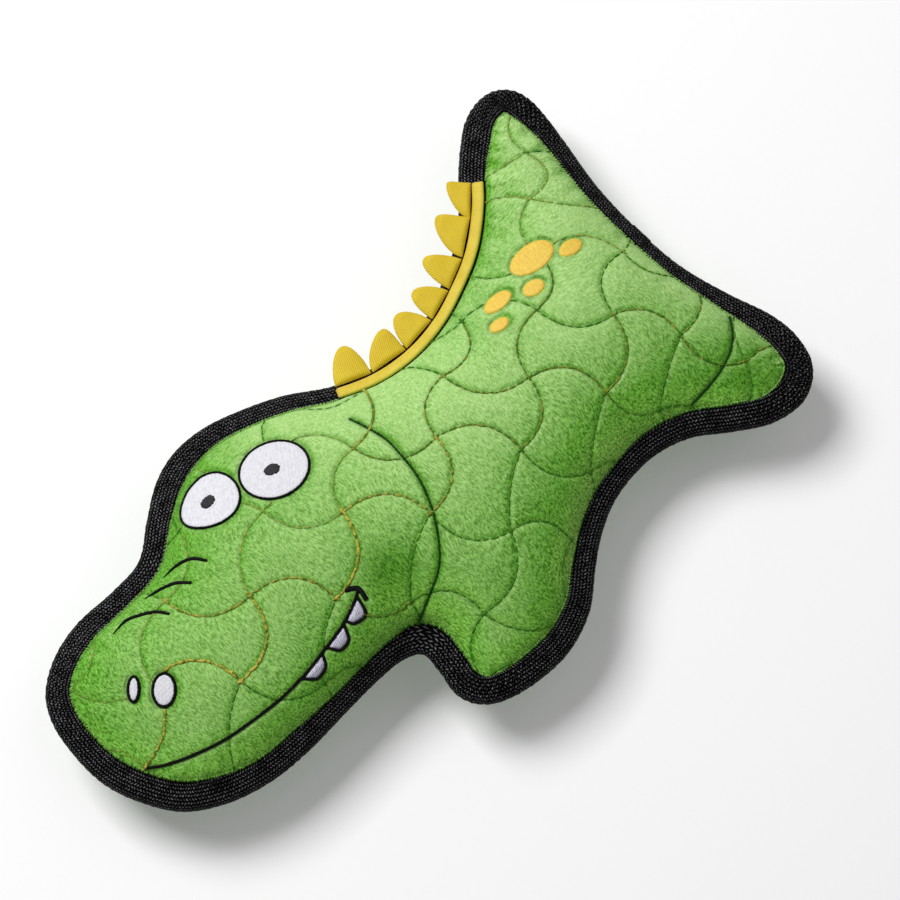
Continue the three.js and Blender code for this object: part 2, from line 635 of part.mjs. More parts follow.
let mouth = sewn(stroke(MOUTH, THREAD.border, false)).add(sewn(stroke(MOUTH_CORNER, THREAD.border, true)));
TEETH.forEach((tooth, i) => {
  mouth = mouth.add(sewn(tooth)).subtract(prism(drawnIn(tooth, THREAD.fine), ...TALL));
  add("tooth_" + (i + 1), sewn(drawnIn(tooth, THREAD.fine + CLEARANCE)), "tooth_thread");
});
add("mouth_line", mouth, "black_thread");

export default toy;
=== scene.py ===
"""A stuffed alligator dog toy: quilted plush, a webbing edge, ribbed spikes and an embroidered face."""

import json
import math

import bpy
import numpy as np
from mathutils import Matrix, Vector, kdtree, noise
from mathutils.geometry import delaunay_2d_cdt


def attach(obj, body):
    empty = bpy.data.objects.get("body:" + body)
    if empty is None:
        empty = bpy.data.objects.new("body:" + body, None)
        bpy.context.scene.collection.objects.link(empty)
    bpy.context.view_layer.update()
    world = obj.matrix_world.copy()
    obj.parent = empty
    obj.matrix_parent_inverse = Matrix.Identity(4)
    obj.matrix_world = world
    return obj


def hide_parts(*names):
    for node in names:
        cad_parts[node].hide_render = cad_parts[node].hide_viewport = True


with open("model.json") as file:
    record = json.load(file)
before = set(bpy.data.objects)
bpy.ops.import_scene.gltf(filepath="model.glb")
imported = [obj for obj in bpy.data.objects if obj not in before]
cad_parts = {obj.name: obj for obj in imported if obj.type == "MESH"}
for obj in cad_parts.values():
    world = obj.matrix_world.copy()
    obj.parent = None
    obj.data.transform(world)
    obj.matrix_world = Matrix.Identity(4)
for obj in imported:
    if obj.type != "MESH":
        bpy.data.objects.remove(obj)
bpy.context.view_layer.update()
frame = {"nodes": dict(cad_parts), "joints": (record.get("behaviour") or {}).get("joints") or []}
MM = 0.001

# Sizes in millimetres. The panels and the webbing have the same driving dimensions as the solids.
# Rises and heights count from the seam's level, depths from the outline.
SEAM_HEIGHT = 27  # above the floor
EDGE_RISE = 5.85  # of the plush where it comes out of the webbing
CROWN_RISE = 21.15  # of the plush above that, at its highest
SWELL_POWER = 0.6
FLANGE_START = 2.3
FLANGE_RISE = 2.25
PLUSH = 1.2
CLEARANCE = 0.3
SETTLE = {"gain": 1.32, "start": 15.9, "bend": 0.0435}  # how the back flattens where it lies
FOLD_HALF = 3.3
FOLD_START = 0.9  # depth at which the webbing's two legs begin to part
WEBBING = 1.2
LEG_END = EDGE_RISE + CLEARANCE
LEG_TOP = LEG_END + WEBBING
TAPE = {"width": 4.6, "inset": 0.4, "crown": 2.0}
RIDGE_FROM = (13, 45.6)
RIDGE_LENGTH = 104
EDGE_PITCH = 0.8  # between the points of the outline
LINE_PITCH = 0.5  # between the points of an embroidered line
MEMBRANE = {"pitch": 0.75, "half": (156, 93), "sweeps": 900}
RIM_BAND = 3.0  # inside this distance the membrane falls evenly to the rim
RIM_ROWS = (0.35, 0.7, 1.6, 2.7)  # rows of a panel's points along the rim
RIM_CLEAR = {"sewn": 3.1, "open": 3.4}  # where its other points begin
PANEL_PITCH = {1: 0.85, -1: 1.2}  # between them, on the face side and the back
SEWN_ROWS = (0, -0.8, 0.8)  # rows of points along each sewn line
UNDER_PITCH = 4.0  # between the points of a panel's inner skin
FLANGE_ROWS = (0.4, 0.75, 1.0)  # shares of the way from the rim to the flange's edge
RIDGE_LIFT = 2.5  # how far the plush swells up against the tape

# Outer edge of the webbing, clockwise from the snout: x, y and how far the webbing reaches inwards
OUTLINE = [
    (-144.7, 36.1, 9.5), (-134.1, 43.5, 9.5), (-119, 47.5, 9.5), (-100, 47.1, 9), (-85.9, 48.4, 9),
    (-72.5, 57.8, 9.5), (-60.1, 65.8, 10.5), (-48, 69.3, 10.5), (-33.9, 68.6, 9.5), (-17.9, 63.3, 8.5),
    (-3.1, 56.3, 8), (13, 45.6, 7.3), (28, 40.3, 8.3), (43, 38.5, 8.6), (57, 40, 8.6),
    (70, 45, 9.4), (83, 51.5, 9.9), (96, 61.5, 10), (105.9, 71.6, 10), (115, 79.5, 11),
    (123, 85, 11), (131, 87.4, 11), (137.5, 87, 11), (142.5, 84.3, 11), (146, 79.5, 11),
    (147.3, 73, 11), (146.6, 64, 9.5), (144.5, 52.1, 8), (140.3, 30.1, 7), (138.9, 9, 6.5),
    (139.9, -14, 6.5), (144.8, -34.8, 8), (150, -50.9, 10.5), (151.3, -61, 11), (150.2, -69.6, 11),
    (147.8, -75.7, 11), (142.5, -81, 11), (134, -84.1, 11), (120.7, -81.7, 9), (107.6, -73.6, 8.5),
    (94.4, -63.8, 8), (80.8, -59.1, 7.8), (67.1, -58.7, 7), (55.3, -60.9, 7.5), (43.4, -66.3, 8),
    (32.5, -73.7, 8.5), (19.7, -83.3, 9), (4.3, -88.4, 9.5), (-10.1, -88.4, 9.5), (-22.8, -85.7, 9),
    (-30.1, -82.2, 8.8), (-35, -77, 9.6), (-37.2, -70, 10.2), (-35.6, -60, 10), (-35.4, -50.9, 10),
    (-42.4, -47.2, 7.5), (-54.2, -46.1, 6.5), (-70.9, -46.3, 6.5), (-90, -46.8, 8), (-107.3, -45.2, 8),
    (-123.5, -40.1, 9), (-137.8, -30.8, 10), (-146.3, -18.1, 10), (-151.9, -2.2, 10), (-152.1, 15.1, 9.5),
    (-149.7, 27.2, 9.5),
]

# Sewn lines that draw the face panel in
HEAD_LINE = [
    (5.8, 28), (7.4, 21.1), (8.8, 12.8), (8.5, 6.2), (6.2, -8), (-0.3, -22.4), (-10.7, -34.8), (-24, -40.8),
    (-30, -43),
]
FOOT_LINE = [(136.2, -42.9), (131.3, -48.7), (125.4, -52.7), (118.7, -54.9), (112.3, -55.9), (101.6, -56.2)]
SEAM_DIP = {"depth": 0.35, "reach": 2.4, "groove": 0.55}

# Patches of painted shade on the pile (share above 0) and of painted light (share below 0): x, y, radius
# and share
PAINTED_SHADE_AND_LIGHT_PATCHES = [
    (-24.6, -24.5, 11, 0.75), (112.1, -26.5, 17, 0.15), (124, -63.6, 20, 0.5), (75, -52, 8, -0.6),
    (65, -52, 8, -0.8), (55, -55.5, 8, -0.8), (45, -60.5, 8, -0.8), (35, -66, 8, -0.8), (25, -71, 8, -0.7),
]

# Crossings of the quilting lines: column, row, x and y. Columns and rows run across the toy's length.
CROSSINGS = [
    (-2, 1, -90.1, 27.4), (-1, 0, -42, 25), (-1, 1, -67.4, 5.5), (-1, 2, -91.2, -13.9), (0, 0, -22, 3.5),
    (0, 1, -45.5, -17.1), (1, -2, 41.4, 15.3), (1, -1, 22, -0.5), (1, 0, 0.4, -19.5),
    (1, 1, -26.7, -36.3), (2, -2, 62.6, -8.4), (2, -1, 41.1, -25.6), (2, 0, 17, -44.3),
    (3, -3, 103.1, -13.1), (3, -2, 79.6, -31.9), (3, -1, 55.1, -48), (3, 0, 32.3, -60.7),
    (4, -3, 116.1, -35.7), (4, -2, 90.6, -49.4), (2, -3, 83.7, 8.3), (2, -4, 100.1, 23.5),
    (2, -5, 115.2, 42.7), (2, -6, 128.4, 57.7), (3, -4, 125, 2.9), (2, -7, 138.3, 74.2),
    (1, -5, 90.1, 55.6), (1, -6, 98.4, 67), (1, -3, 62.3, 26.4), (5, -3, 127.6, -59.2),
    (5, -2, 103, -70.6), (2, 1, -10.8, -58.1), (0, 2, -69.7, -34.7), (-1, 3, -118.3, -42),
    (-2, 2, -114, 9.8), (-2, 3, -137.2, -10.2), (-3, 2, -136.3, 29.7), (-3, 3, -160.5, 13.5),
]
QUILT_BULGE = 0.215  # rise of each arc, as a share of the distance between its crossings
BULGES = {  # the rise of other arcs, by their first crossing
    "column": {
        (0, 1): 0.08, (-1, 2): 0.12, (2, -1): 0.07, (1, 0): 0.09, (3, 0): 0.13, (4, -3): 0.03,
        (3, -2): 0.04, (2, -6): 0.38, (2, -4): 0.26, (1, -3): 0.27, (-1, 0): 0.19, (-1, 1): 0.25,
        (2, -2): 0.23, (3, -4): 0.24, (1, -1): 0.24,
    },
    "row": {(2, -5): 0.07, (1, -6): 0.04, (1, -5): 0.17, (2, -6): 0.04},
}
THREADS = {  # how the quilting shows, by each arc's first crossing; the other arcs are sunk
    "rope": {"column": [(0, 0), (-1, 1), (-2, 2)], "row": [(-2, 2)]},
    "bold": {"column": [(1, -1), (0, -2)], "row": [(-1, 1), (0, 0), (-2, 1)]},
    "fine": {
        "column": [(-2, 0), (-3, 1), (-1, 0), (-2, 1), (0, -1), (2, -5), (-1, -1), (2, -6), (2, -7)],
        "row": [(-3, 2), (-3, 3), (-2, 0), (-1, -1), (-2, -1), (-1, 0), (2, -5), (2, -4), (1, -6), (1, -5)],
    },
    "mixed": {
        "column": [(2, -2), (3, -3), (2, -4), (2, -3), (1, -2), (1, -3), (4, -4)],
        "row": [(2, -2), (1, -1), (3, -3), (1, -2), (0, -1), (0, 1), (4, -3), (5, -3)],
    },
}
QUILT = {"groove": 0.5, "groove_width": 0.9, "puff": 0.35, "puff_width": 6}
STITCH_CLEAR = {"rim": 0.6, "field": 1.2}  # least distance of the quilting from the rim and the embroidery
BACK_SHIFT = (10, 0)  # of the back's quilting, which is the face panel's, mirrored
GATHERED = {"size": 5.5, "reach": 7, "height": 0.9}  # the plush's gathers along the rim
LUMPS = {"size": 26, "height": 0.5}  # broad unevenness of the stuffing
PRESSED = {"field": 0.75, "field_reach": 1.3, "line": 0.55, "line_reach": 1.1}  # under the embroidery
PILE_RELIEF = 0.11
# Painted shade in the creases: widths and strengths along the quilting, the sewn seams and round the
# embroidery
CREASE_SHADE_PAINT = {"quilt": 0.62, "quilt_depth": 0.9, "seam": 0.85, "field": 0.75, "field_depth": 0.55}

# Embroidery on the face panel
EYES = {  # place, half lengths, turn, how egg-shaped, and the pupil's place and turn
    "right": ((-27.9, 33.9), (13.9, 12.1), -24, 0, (-28.6, 34.3, -24)),
    "left": ((-53, 43), (12.6, 10.8), -8, 0.18, (-53.3, 43.1, -4)),
}
PUPIL = (3.2, 2.35)
NOSTRILS = {"near": ((-113.1, 3.6), (6.6, 4.8), 45), "far": ((-120.6, 12), (5.2, 2.7), 45)}
SPOTS = [
    ((97.9, 24.6), (9.6, 5.8), -8), ((111.1, 17.1), (5.2, 3.3), -8), ((89.5, 15.4), (4.6, 3.3), -10),
    ((76.5, 21.4), (6.2, 3.4), -5), ((70.1, 14.3), (4.2, 2.7), -10),
]
MOUTH = [
    (-137, -10.8), (-131.4, -15.1), (-123, -19.6), (-110, -24.3), (-90, -27.7), (-76, -28.3), (-63, -27),
    (-50, -25), (-42, -22.4), (-37.8, -20.4),
]
MOUTH_CORNER = [(-41.5, -17.2), (-37.6, -20), (-38.1, -25)]
TEETH = [
    [(-48.8, -25), (-47.4, -27.6), (-42, -28.4), (-39.8, -22)],
    [(-60.4, -27), (-57.4, -30.8), (-52.8, -30.4), (-50.2, -25.4)],
    [(-74.6, -28.6), (-70.4, -32.2), (-65.4, -31.2), (-63.2, -27.4)],
]
WRINKLES = [
    [(-84.3, 35), (-78, 34.4), (-72.5, 31.9), (-69.1, 26.7)],
    [(-94.6, 34.5), (-87.8, 32.2), (-82.5, 29.4), (-78.8, 25.1)],
    [(-111.9, 33.1), (-104.9, 33.1), (-99.6, 30.4), (-95.1, 26.9), (-92.4, 22.6)],
]
BORDER = 1.3
FIELD_PITCH = 0.55  # between the points of a field of stitches
FIELDS = {  # how far a field of stitches swells up, and how far above the skin it starts
    "eye": (0.6, 0), "pupil": (0.5, 0.55), "nostril": (0.6, 0), "spot": (0.55, 0), "tooth": (0.6, 0),
}
CORD = {"sides": 12, "height": 0.55}
CORDS = {  # width, how far the middle lies above the skin, and the share of the width at both ends
    "eye": (1.0, 0.35, 1, 1), "nostril": (1.2, 0.35, 1, 1), "mouth": (1.2, 0.3, 1, 1),
    "corner": (1.9, 0.3, 1, 1), "wrinkle": (1.4, 0.25, 0.2, 0.8),
}

# Cloth and thread
WEAVE = {"row": 1.42, "yarn": 1.25, "ridge": 0.2}  # rows of the webbing and the yarns in them
PLEAT = {"pitch": 3.1, "height": 0.55}  # folds of the webbing where the outline turns
SECTION_COUNT = 37  # points of a webbing section from its folded middle to one long edge
INSIDE = [(1.9, FOLD_HALF - 0.75), (1.25, 0.9)]  # inner side of the fold
LAP = {"at": (139.4, 9.5), "count": 12, "proud": 0.35}  # where the webbing's ends overlap
RIB = 0.8  # spacing of the ribs on the spikes

# Spikes: how far the tip leans and stands out
SPIKES = [(0.6, 14.2), (4.2, 12.2), (0, 12.1), (-0.6, 12.2), (0.6, 14), (4.7, 13.5), (5.6, 9.8)]
SPIKE = {
    "half": 1.7, "clear": 0.5, "pinch": 0.4, "shoulder": 0.45, "round": 0.44, "tip": 1.4, "rib": 0.09,
    "lip": 0.14,
}

STITCHES = {  # pitch, length, width and how far the thread lies above the skin
    "rope": (3.2, 4.2, 1.4, 0.25), "bold": (3.3, 4.1, 1.2, 0.2), "fine": (3.4, 3.6, 0.75, 0.12),
    "mixed": (3.3, 3.8, 1.0, 0.15), "sunk": (3.3, 3.3, 0.8, 0.1), "seam": (1.6, 2.3, 1.1, 0.15),
    "edge": (3.2, 2.4, 0.42, 0),
}
EDGE_STITCH_DEPTH = 1.6  # from the webbing's inner edge
THREAD_TONES = {  # the thread itself, the pile over it with painted shade, and how the two share it
    "rope": ((204, 190, 80), (98, 116, 34), (0.43, 0.55)),
    "bold": ((182, 174, 74), (80, 116, 32), (0.44, 0.56)),
    "fine": ((164, 172, 78), (90, 148, 48), (0.43, 0.57)),
    "mixed": ((146, 150, 58), (56, 112, 26), (0.46, 0.58)),
    "sunk": ((96, 140, 40), (44, 116, 18), (0.46, 0.6)),
    "seam": ((34, 80, 14), (14, 48, 6), (0.4, 0.7)),
    "black": ((34, 34, 36), (12, 12, 13), (0.4, 0.75)),
}
FRINGE = {
    "depths": (0.25, 0.6), "reach": 0.36, "downhill": 0.4, "wide": 0.42, "each": 2,
    "seeds": {1: 11, -1: 12},
}

# Looks of the pieces inside, by what their names start with
INSIDE_FINISHES = {
    "front_lining": "cloth", "back_lining": "cloth", "stuffing": "fibre", "squeaker_bulb": "soft",
    "squeaker_reed": "hard",
}

# Light and floor
LAMPS = [
    # name, towards the picture's right and top and up from the floor, in metres, side, watts
    ("key", (-0.76, 0.6, 1.42), 0.75, 25.2),
    ("soft", (0.9, 0.5, 1.6), 1.4, 2.2),
]
LAMPS_ROUND = 0.02  # the lamps stand round this point of the toy's length, in metres
SKY = 0.175
FLOOR = {"half": 3.0, "level": -0.0003, "glow": 0.155}  # just under the pile that the toy lies on

# The photograph's view: a distance and a lens that give 0.376 mm for each pixel of 900 at the target
VIEW = {"azimuth": -45, "elevation": 76, "distance": 1100, "target": (26.74, -3.01, 27), "lens": 117,
        "sensor": 36}
ACROSS = (math.sqrt(0.5), -math.sqrt(0.5))  # towards the picture's right, in plan
UPWARDS = (math.sqrt(0.5), math.sqrt(0.5))  # towards the picture's top, in plan


# Materials

def tone(red, green, blue):
    """A colour written from 0 to 255 as a display shows it, turned into light."""
    shares = [channel / 255 for channel in (red, green, blue)]
    return (*(s / 12.92 if s <= 0.04045 else ((s + 0.055) / 1.055) ** 2.4 for s in shares), 1)


class Value:
    """A number that varies over a surface. Arithmetic on it adds Math nodes."""

    def __init__(self, finish, socket):
        self.finish = finish
        self.socket = socket

    def math(self, operation, *others, first=None):
        terms = ([first] if first is not None else []) + [self, *others]
        return self.finish.node("ShaderNodeMath", dict(enumerate(terms)), operation=operation)

    def __add__(self, other):
        return self.math("ADD", other)

    def __sub__(self, other):
        return self.math("SUBTRACT", other)

    def __rsub__(self, other):
        return self.math("SUBTRACT", first=other)

    def __mul__(self, other):
        return self.math("MULTIPLY", other)

    def __truediv__(self, other):
        return self.math("DIVIDE", other)

    def __pow__(self, other):
        return self.math("POWER", other)

    __radd__ = __add__
    __rmul__ = __mul__

    def fract(self):
        return self.math("FRACT")

    def floor(self):
        return self.math("FLOOR")

    def sine(self):
        return self.math("SINE")

    def wave(self, pitch):
        return (self * (2 * math.pi / pitch)).sine()

    def clamped(self):
        return self.finish.node("ShaderNodeClamp", {0: self})

    def spread(self, low, high):
        """0 at low and 1 at high, limited to that range."""
        return ((self - low) / (high - low)).clamped()


class Finish:
    """A material's node tree."""

    def __init__(self, name):
        self.material = bpy.data.materials.new(name)
        self.material.use_nodes = True
        self.nodes = self.material.node_tree.nodes
        self.links = self.material.node_tree.links
        self.nodes.clear()

    def node(self, kind, inputs, output=0, **settings):
        made = self.nodes.new(kind)
        for key, value in settings.items():
            setattr(made, key, value)
        for key, value in inputs.items():
            if isinstance(value, Value):
                self.links.new(value.socket, made.inputs[key])
            else:
                made.inputs[key].default_value = value
        return Value(self, made.outputs[output])

    def place(self):
        return self.node("ShaderNodeTexCoord", {}, "Object")

    def flat(self, vector):
        """The first two coordinates of a vector."""
        return [self.node("ShaderNodeSeparateXYZ", {0: vector}, axis) for axis in (0, 1)]

    def weave(self):
        """A place on the cloth along and across it, in millimetres."""
        return self.flat(self.node("ShaderNodeUVMap", {}, uv_map="weave"))

    def stored(self, name):
        """A number that the piece holds for each of its points."""
        return self.node("ShaderNodeAttribute", {}, "Fac", attribute_name=name)

    def turned(self, vector, scale, turn=0):
        """A vector turned about Z, then stretched."""
        level = self.node("ShaderNodeMapping", {0: vector, "Rotation": (0, 0, turn)})
        return self.node("ShaderNodeMapping", {0: level, "Scale": scale})

    def noise(self, vector, scale, detail=2, roughness=0.5):
        inputs = {"Vector": vector, "Scale": scale, "Detail": detail, "Roughness": roughness}
        return self.node("ShaderNodeTexNoise", inputs)

    def mix(self, factor, first, second, blend="MIX"):
        inputs = {0: factor, 6: first, 7: second}
        return self.node("ShaderNodeMix", inputs, 2, data_type="RGBA", blend_type=blend)

    def along(self, direction):
        """How far the surface faces a direction, from -1 to 1."""
        facing = self.node("ShaderNodeNewGeometry", {}, "Normal")
        return self.node("ShaderNodeVectorMath", {0: facing, 1: direction}, 1, operation="DOT_PRODUCT")

    def bump(self, height, distance, strength=1):
        """Relief from a height of 0 to 1, the distance being in millimetres."""
        inputs = {"Height": height, "Distance": distance * MM, "Strength": strength}
        return self.node("ShaderNodeBump", inputs)

    def done(self, colour, roughness, normal=None, **constants):
        inputs = {"Base Color": colour, "Roughness": roughness}
        if normal is not None:
            inputs["Normal"] = normal
        inputs.update({name.replace("_", " "): value for name, value in constants.items()})
        return self.end(self.node("ShaderNodeBsdfPrincipled", inputs))

    def end(self, shader):
        output = self.nodes.new("ShaderNodeOutputMaterial")
        self.links.new(shader.socket, output.inputs[0])
        return self.material


def plush_finish():
    """Short pile with painted light and shade in its colour: pale where it faces up the picture, deep green
    where it turns from the light, paler where it faces down as if lit from the floor, with painted patches
    and creases.
    """
    f = Finish("plush")
    place = f.place()
    patches = f.noise(place, 45, 3, 0.55)
    x, y = f.flat(place)
    swirl = f.node("ShaderNodeTexNoise", {"Vector": place, "Scale": 35, "Detail": 1}, 1)
    moved = {0: swirl, 1: (0.012, 0.012, 0), 2: place}
    bent = f.node("ShaderNodeVectorMath", moved, operation="MULTIPLY_ADD")
    upper = (x * 3.5 + y * 17 + patches * 2 - 1.05).clamped()
    down = f.noise(f.turned(bent, (1750, 560, 1300)), 1, 2, 0.7)
    across = f.noise(f.turned(bent, (560, 1750, 1300)), 1, 2, 0.7)
    streaks = down * (1 - upper) + across * upper
    grain = f.noise(place, 2100, 2, 0.7)
    tail = (x * 16 + y * 5 + 0.4).clamped()
    # Painted light and shade by facing: pale where the surface faces up the picture, deep green where it
    # faces to either side, paler still on the tail
    up = f.along((*UPWARDS, 0))
    right = f.along((*ACROSS, 0))
    pale = up * (tail * 1.15 + 0.45) - (right * right + 0.004) ** 0.5 * 1.5 + tail * 0.12
    painted_shade_and_light = f.stored("painted_shade_and_light")
    share = (pale + 0.6 + patches * 0.3 - painted_shade_and_light * 0.6).clamped()
    painted_facing_shade = f.mix(share, tone(129, 201, 72), tone(191, 233, 148))
    # Painted shade: darker green in the listed patches; painted light: paler green where their share is
    # below 0
    turned = f.mix(painted_shade_and_light, painted_facing_shade, tone(92, 158, 44))
    base = f.mix(painted_shade_and_light * -0.8, turned, tone(206, 255, 132))
    # Painted bounce light from the floor: paler green where the surface faces the picture's bottom
    with_painted_bounce = f.mix((up * -2.5 - 0.7).clamped(), base, tone(166, 238, 98))
    shade = (streaks * 0.8 + grain * 0.2).spread(0.38, 0.6)
    gaps = f.mix(share, tone(112, 144, 76), tone(194, 208, 174))
    strands = f.mix(shade, gaps, tone(255, 255, 255))
    open_pile = f.mix(1.0, with_painted_bounce, strands, "MULTIPLY")
    # Painted shade: dark green in the creases along sewn lines and round the embroidery, broken up by the
    # grain
    painted_crease_shade = f.stored("painted_crease_shade")
    colour = f.mix((painted_crease_shade * (0.5 + grain * 0.7)).clamped(), open_pile, tone(40, 96, 16))
    normal = f.bump(streaks * 0.8 + grain * 0.2, 0.5, 0.8)
    return f.done(colour, 0.92, normal, Sheen_Weight=0.14, Sheen_Roughness=0.45,
                  Sheen_Tint=tone(205, 240, 170), Specular_IOR_Level=0.1)


def webbing_finish():
    """Coarse black webbing: slanting yarns in rows, the slant turning over from row to row, with painted
    grey glints on the yarns' crowns.
    """
    f = Finish("webbing")
    along, across = f.weave()
    place = f.place()
    uneven = f.noise(place, 420, 2, 0.5)
    row = across / WEAVE["row"] + (uneven - 0.5) * 0.5
    index = row.floor()
    lean = (index * 0.5).fract() * 4 - 1
    within = row.fract() - 0.5
    yarn = (along / WEAVE["yarn"] + within * lean * 0.9 + index * 0.37 + uneven * 0.5).fract() - 0.5
    rise = (1 - yarn * yarn * 4) * (1 - within * within * 3.2)
    strand = f.noise(place, 1800, 2, 0.6)
    glint_breakup = f.noise(place, 260, 2, 0.6)
    height = rise * 0.8 + strand * 0.2
    # Painted glints: grey on the crowns of the yarns, broken up at random
    shown = (rise * (strand * 0.8 + glint_breakup * 0.7 + 0.1)).spread(0.56, 1.04)
    colour = f.mix(shown, tone(2, 2, 3), tone(140, 138, 142))
    return f.done(colour, 0.7 - strand * 0.2, f.bump(height, 0.9, 1), Specular_IOR_Level=0.06)


def ribbed_finish(name, pale, deep):
    """Yellow ribbed ribbon. Its ribs are in the map's second coordinate."""
    f = Finish(name)
    along, across = f.weave()
    ribs = across.wave(RIB) * 0.5 + 0.5
    picks = along.wave(0.45) * 0.5 + 0.5
    mottle = f.noise(f.place(), 130, 3, 0.6)
    grain = f.noise(f.place(), 1500, 2, 0.6)
    base = f.mix(mottle.spread(0.3, 0.75), deep, pale)
    height = ribs * 0.6 + picks * 0.15 + grain * 0.25
    shaded = f.mix(height.spread(0.15, 0.7), tone(222, 216, 200), tone(255, 255, 255))
    colour = f.mix(1.0, base, shaded, "MULTIPLY")
    normal = f.bump(height, 0.16, 0.7)
    return f.done(colour, 0.62, normal, Sheen_Weight=0.15, Sheen_Roughness=0.4, Specular_IOR_Level=0.35)


def tape_finish():
    """Yellow binding tape: a close weave, soft and slightly mottled."""
    f = Finish("tape")
    along, across = f.weave()
    picks = along.wave(0.7) * across.wave(0.7) * 0.5 + 0.5
    mottle = f.noise(f.place(), 150, 3, 0.6)
    grain = f.noise(f.place(), 1300, 2, 0.6)
    base = f.mix(mottle.spread(0.3, 0.75), tone(230, 204, 60), tone(242, 220, 84))
    shaded = f.mix((picks * 0.4 + grain * 0.6).spread(0.2, 0.7), tone(224, 218, 204), tone(255, 255, 255))
    colour = f.mix(1.0, base, shaded, "MULTIPLY")
    return f.done(colour, 0.6, f.bump(picks * 0.5 + grain * 0.5, 0.14, 0.6), Sheen_Weight=0.15,
                  Specular_IOR_Level=0.35)


def filled_finish(name, pale, shadow, turn, row, roughness=0.5):
    """A field of fill stitches in close rows."""
    f = Finish(name)
    place = f.place()
    rows = f.noise(f.turned(place, (1000 / row, 450, 450), turn), 1, 2, 0.55)
    mottle = f.noise(place, 1100, 2, 0.6)
    level = f.node("ShaderNodeSeparateXYZ", {0: f.turned(place, (1000, 1000, 1000), turn)})
    lines = (level * (2 * math.pi / row) + mottle * 3).sine() * 0.5 + 0.5
    height = rows * 0.4 + mottle * 0.4 + lines * 0.2
    colour = f.mix(height.spread(0.3, 0.62), shadow, pale)
    return f.done(colour, roughness, f.bump(height, 0.3, 0.8), Sheen_Weight=0.1, Specular_IOR_Level=0.4)


def satin_finish(name, pale, dark, gloss):
    """Satin stitches that lie side by side across a line."""
    f = Finish(name)
    along, across = f.weave()
    uneven = f.noise(f.place(), 800, 2, 0.5)
    stitches = (along + across * 0.35 + uneven * 0.3).wave(0.42) * 0.5 + 0.5
    colour = f.mix((stitches * uneven * 1.8).clamped(), dark, pale)
    return f.done(colour, 0.5, f.bump(stitches, 0.12, 0.8), Specular_IOR_Level=gloss)


def thread_finish(name, pale, dark, shown):
    """Twisted sewing thread, deeper in colour in random patches, for the pile closing over it and for
    painted shade.
    """
    f = Finish(name)
    place = f.place()
    twist = f.noise(place, 2600, 1, 0.5)
    pile_cover_and_shade = f.noise(place, 520, 2, 0.6)
    colour = f.mix((pile_cover_and_shade * 0.65 + twist * 0.35).spread(*shown), dark, pale)
    return f.done(colour, 0.7, f.bump(twist, 0.08, 0.7), Specular_IOR_Level=0.12)


def cloth_finish(name, pale, dark, pitch):
    """Plain woven cloth."""
    f = Finish(name)
    place = f.place()
    x, y = f.flat(place)
    weave = x.wave(pitch * MM) * y.wave(pitch * MM) * 0.5 + 0.5
    slubs = f.noise(place, 500, 3, 0.6)
    colour = f.mix((weave * 0.5 + slubs * 0.5).spread(0.25, 0.75), dark, pale)
    return f.done(colour, 0.92, f.bump(weave, 0.1, 0.7))


def fibre_finish():
    """Loose stuffing."""
    f = Finish("fibre")
    place = f.place()
    wisps = f.noise(f.turned(place, (900, 240, 240), 0.7), 1, 4, 0.7)
    clumps = f.noise(place, 90, 3, 0.6)
    colour = f.mix((wisps * 0.5 + clumps * 0.5).spread(0.3, 0.7), tone(214, 210, 202), tone(250, 249, 245))
    return f.done(colour, 0.95, f.bump(wisps * 0.4 + clumps * 0.6, 1.5, 0.8))


def moulded_finish(name, pale, dark, roughness):
    """Moulded plastic with faint flow marks and scuffs."""
    f = Finish(name)
    place = f.place()
    flow = f.noise(f.turned(place, (60, 60, 400)), 1, 3, 0.6)
    scuffs = f.noise(place, 1200, 2, 0.6)
    colour = f.mix(flow.spread(0.3, 0.7), dark, pale)
    return f.done(colour, roughness + scuffs * 0.15, f.bump(scuffs, 0.03, 0.5))


def floor_finish():
    """White floor, lifted to the white of the background where it shows directly."""
    f = Finish("floor")
    shade = f.noise(f.place(), 3, 1, 0.5)
    seen = f.node("ShaderNodeLightPath", {}, "Is Camera Ray")
    colour = f.mix(shade, (0.93, 0.93, 0.935, 1), (0.95, 0.95, 0.95, 1))
    diffuse = f.node("ShaderNodeBsdfDiffuse", {0: colour})
    glow = f.node("ShaderNodeEmission", {0: (1, 1, 1, 1), 1: FLOOR["glow"]})
    both = f.node("ShaderNodeAddShader", {0: diffuse, 1: glow})
    return f.end(f.node("ShaderNodeMixShader", {0: seen, 1: diffuse, 2: both}))


# Pieces

def added(name, data):
    """A new object in the scene."""
    made = bpy.data.objects.new(name, data)
    bpy.context.scene.collection.objects.link(made)
    return made


def piece(name, points, faces, material, body="toy", uv=None):
    """A mesh object from points in millimetres. uv gives each face corner its place on the cloth."""
    mesh = bpy.data.meshes.new(name)
    mesh.from_pydata((np.asarray(points, float) * MM).tolist(), [], faces)
    mesh.polygons.foreach_set("use_smooth", [True] * len(mesh.polygons))
    if uv is not None:
        mesh.uv_layers.new(name="weave").data.foreach_set("uv", np.asarray(uv, float).ravel())
    mesh.materials.append(material)
    mesh.update()
    made = added(name, mesh)
    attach(made, body)
    return made


def nearest(points):
    """A function that gives each of many points its nearest one here: distances and indices."""
    tree = kdtree.KDTree(len(points))
    for i, (x, y) in enumerate(np.asarray(points)[:, :2].tolist()):
        tree.insert((x, y, 0), i)
    tree.balance()

    def find(places):
        found = [tree.find((x, y, 0)) for x, y in np.asarray(places)[:, :2].tolist()]
        return np.array([f[2] for f in found]), np.array([f[1] for f in found])

    return find


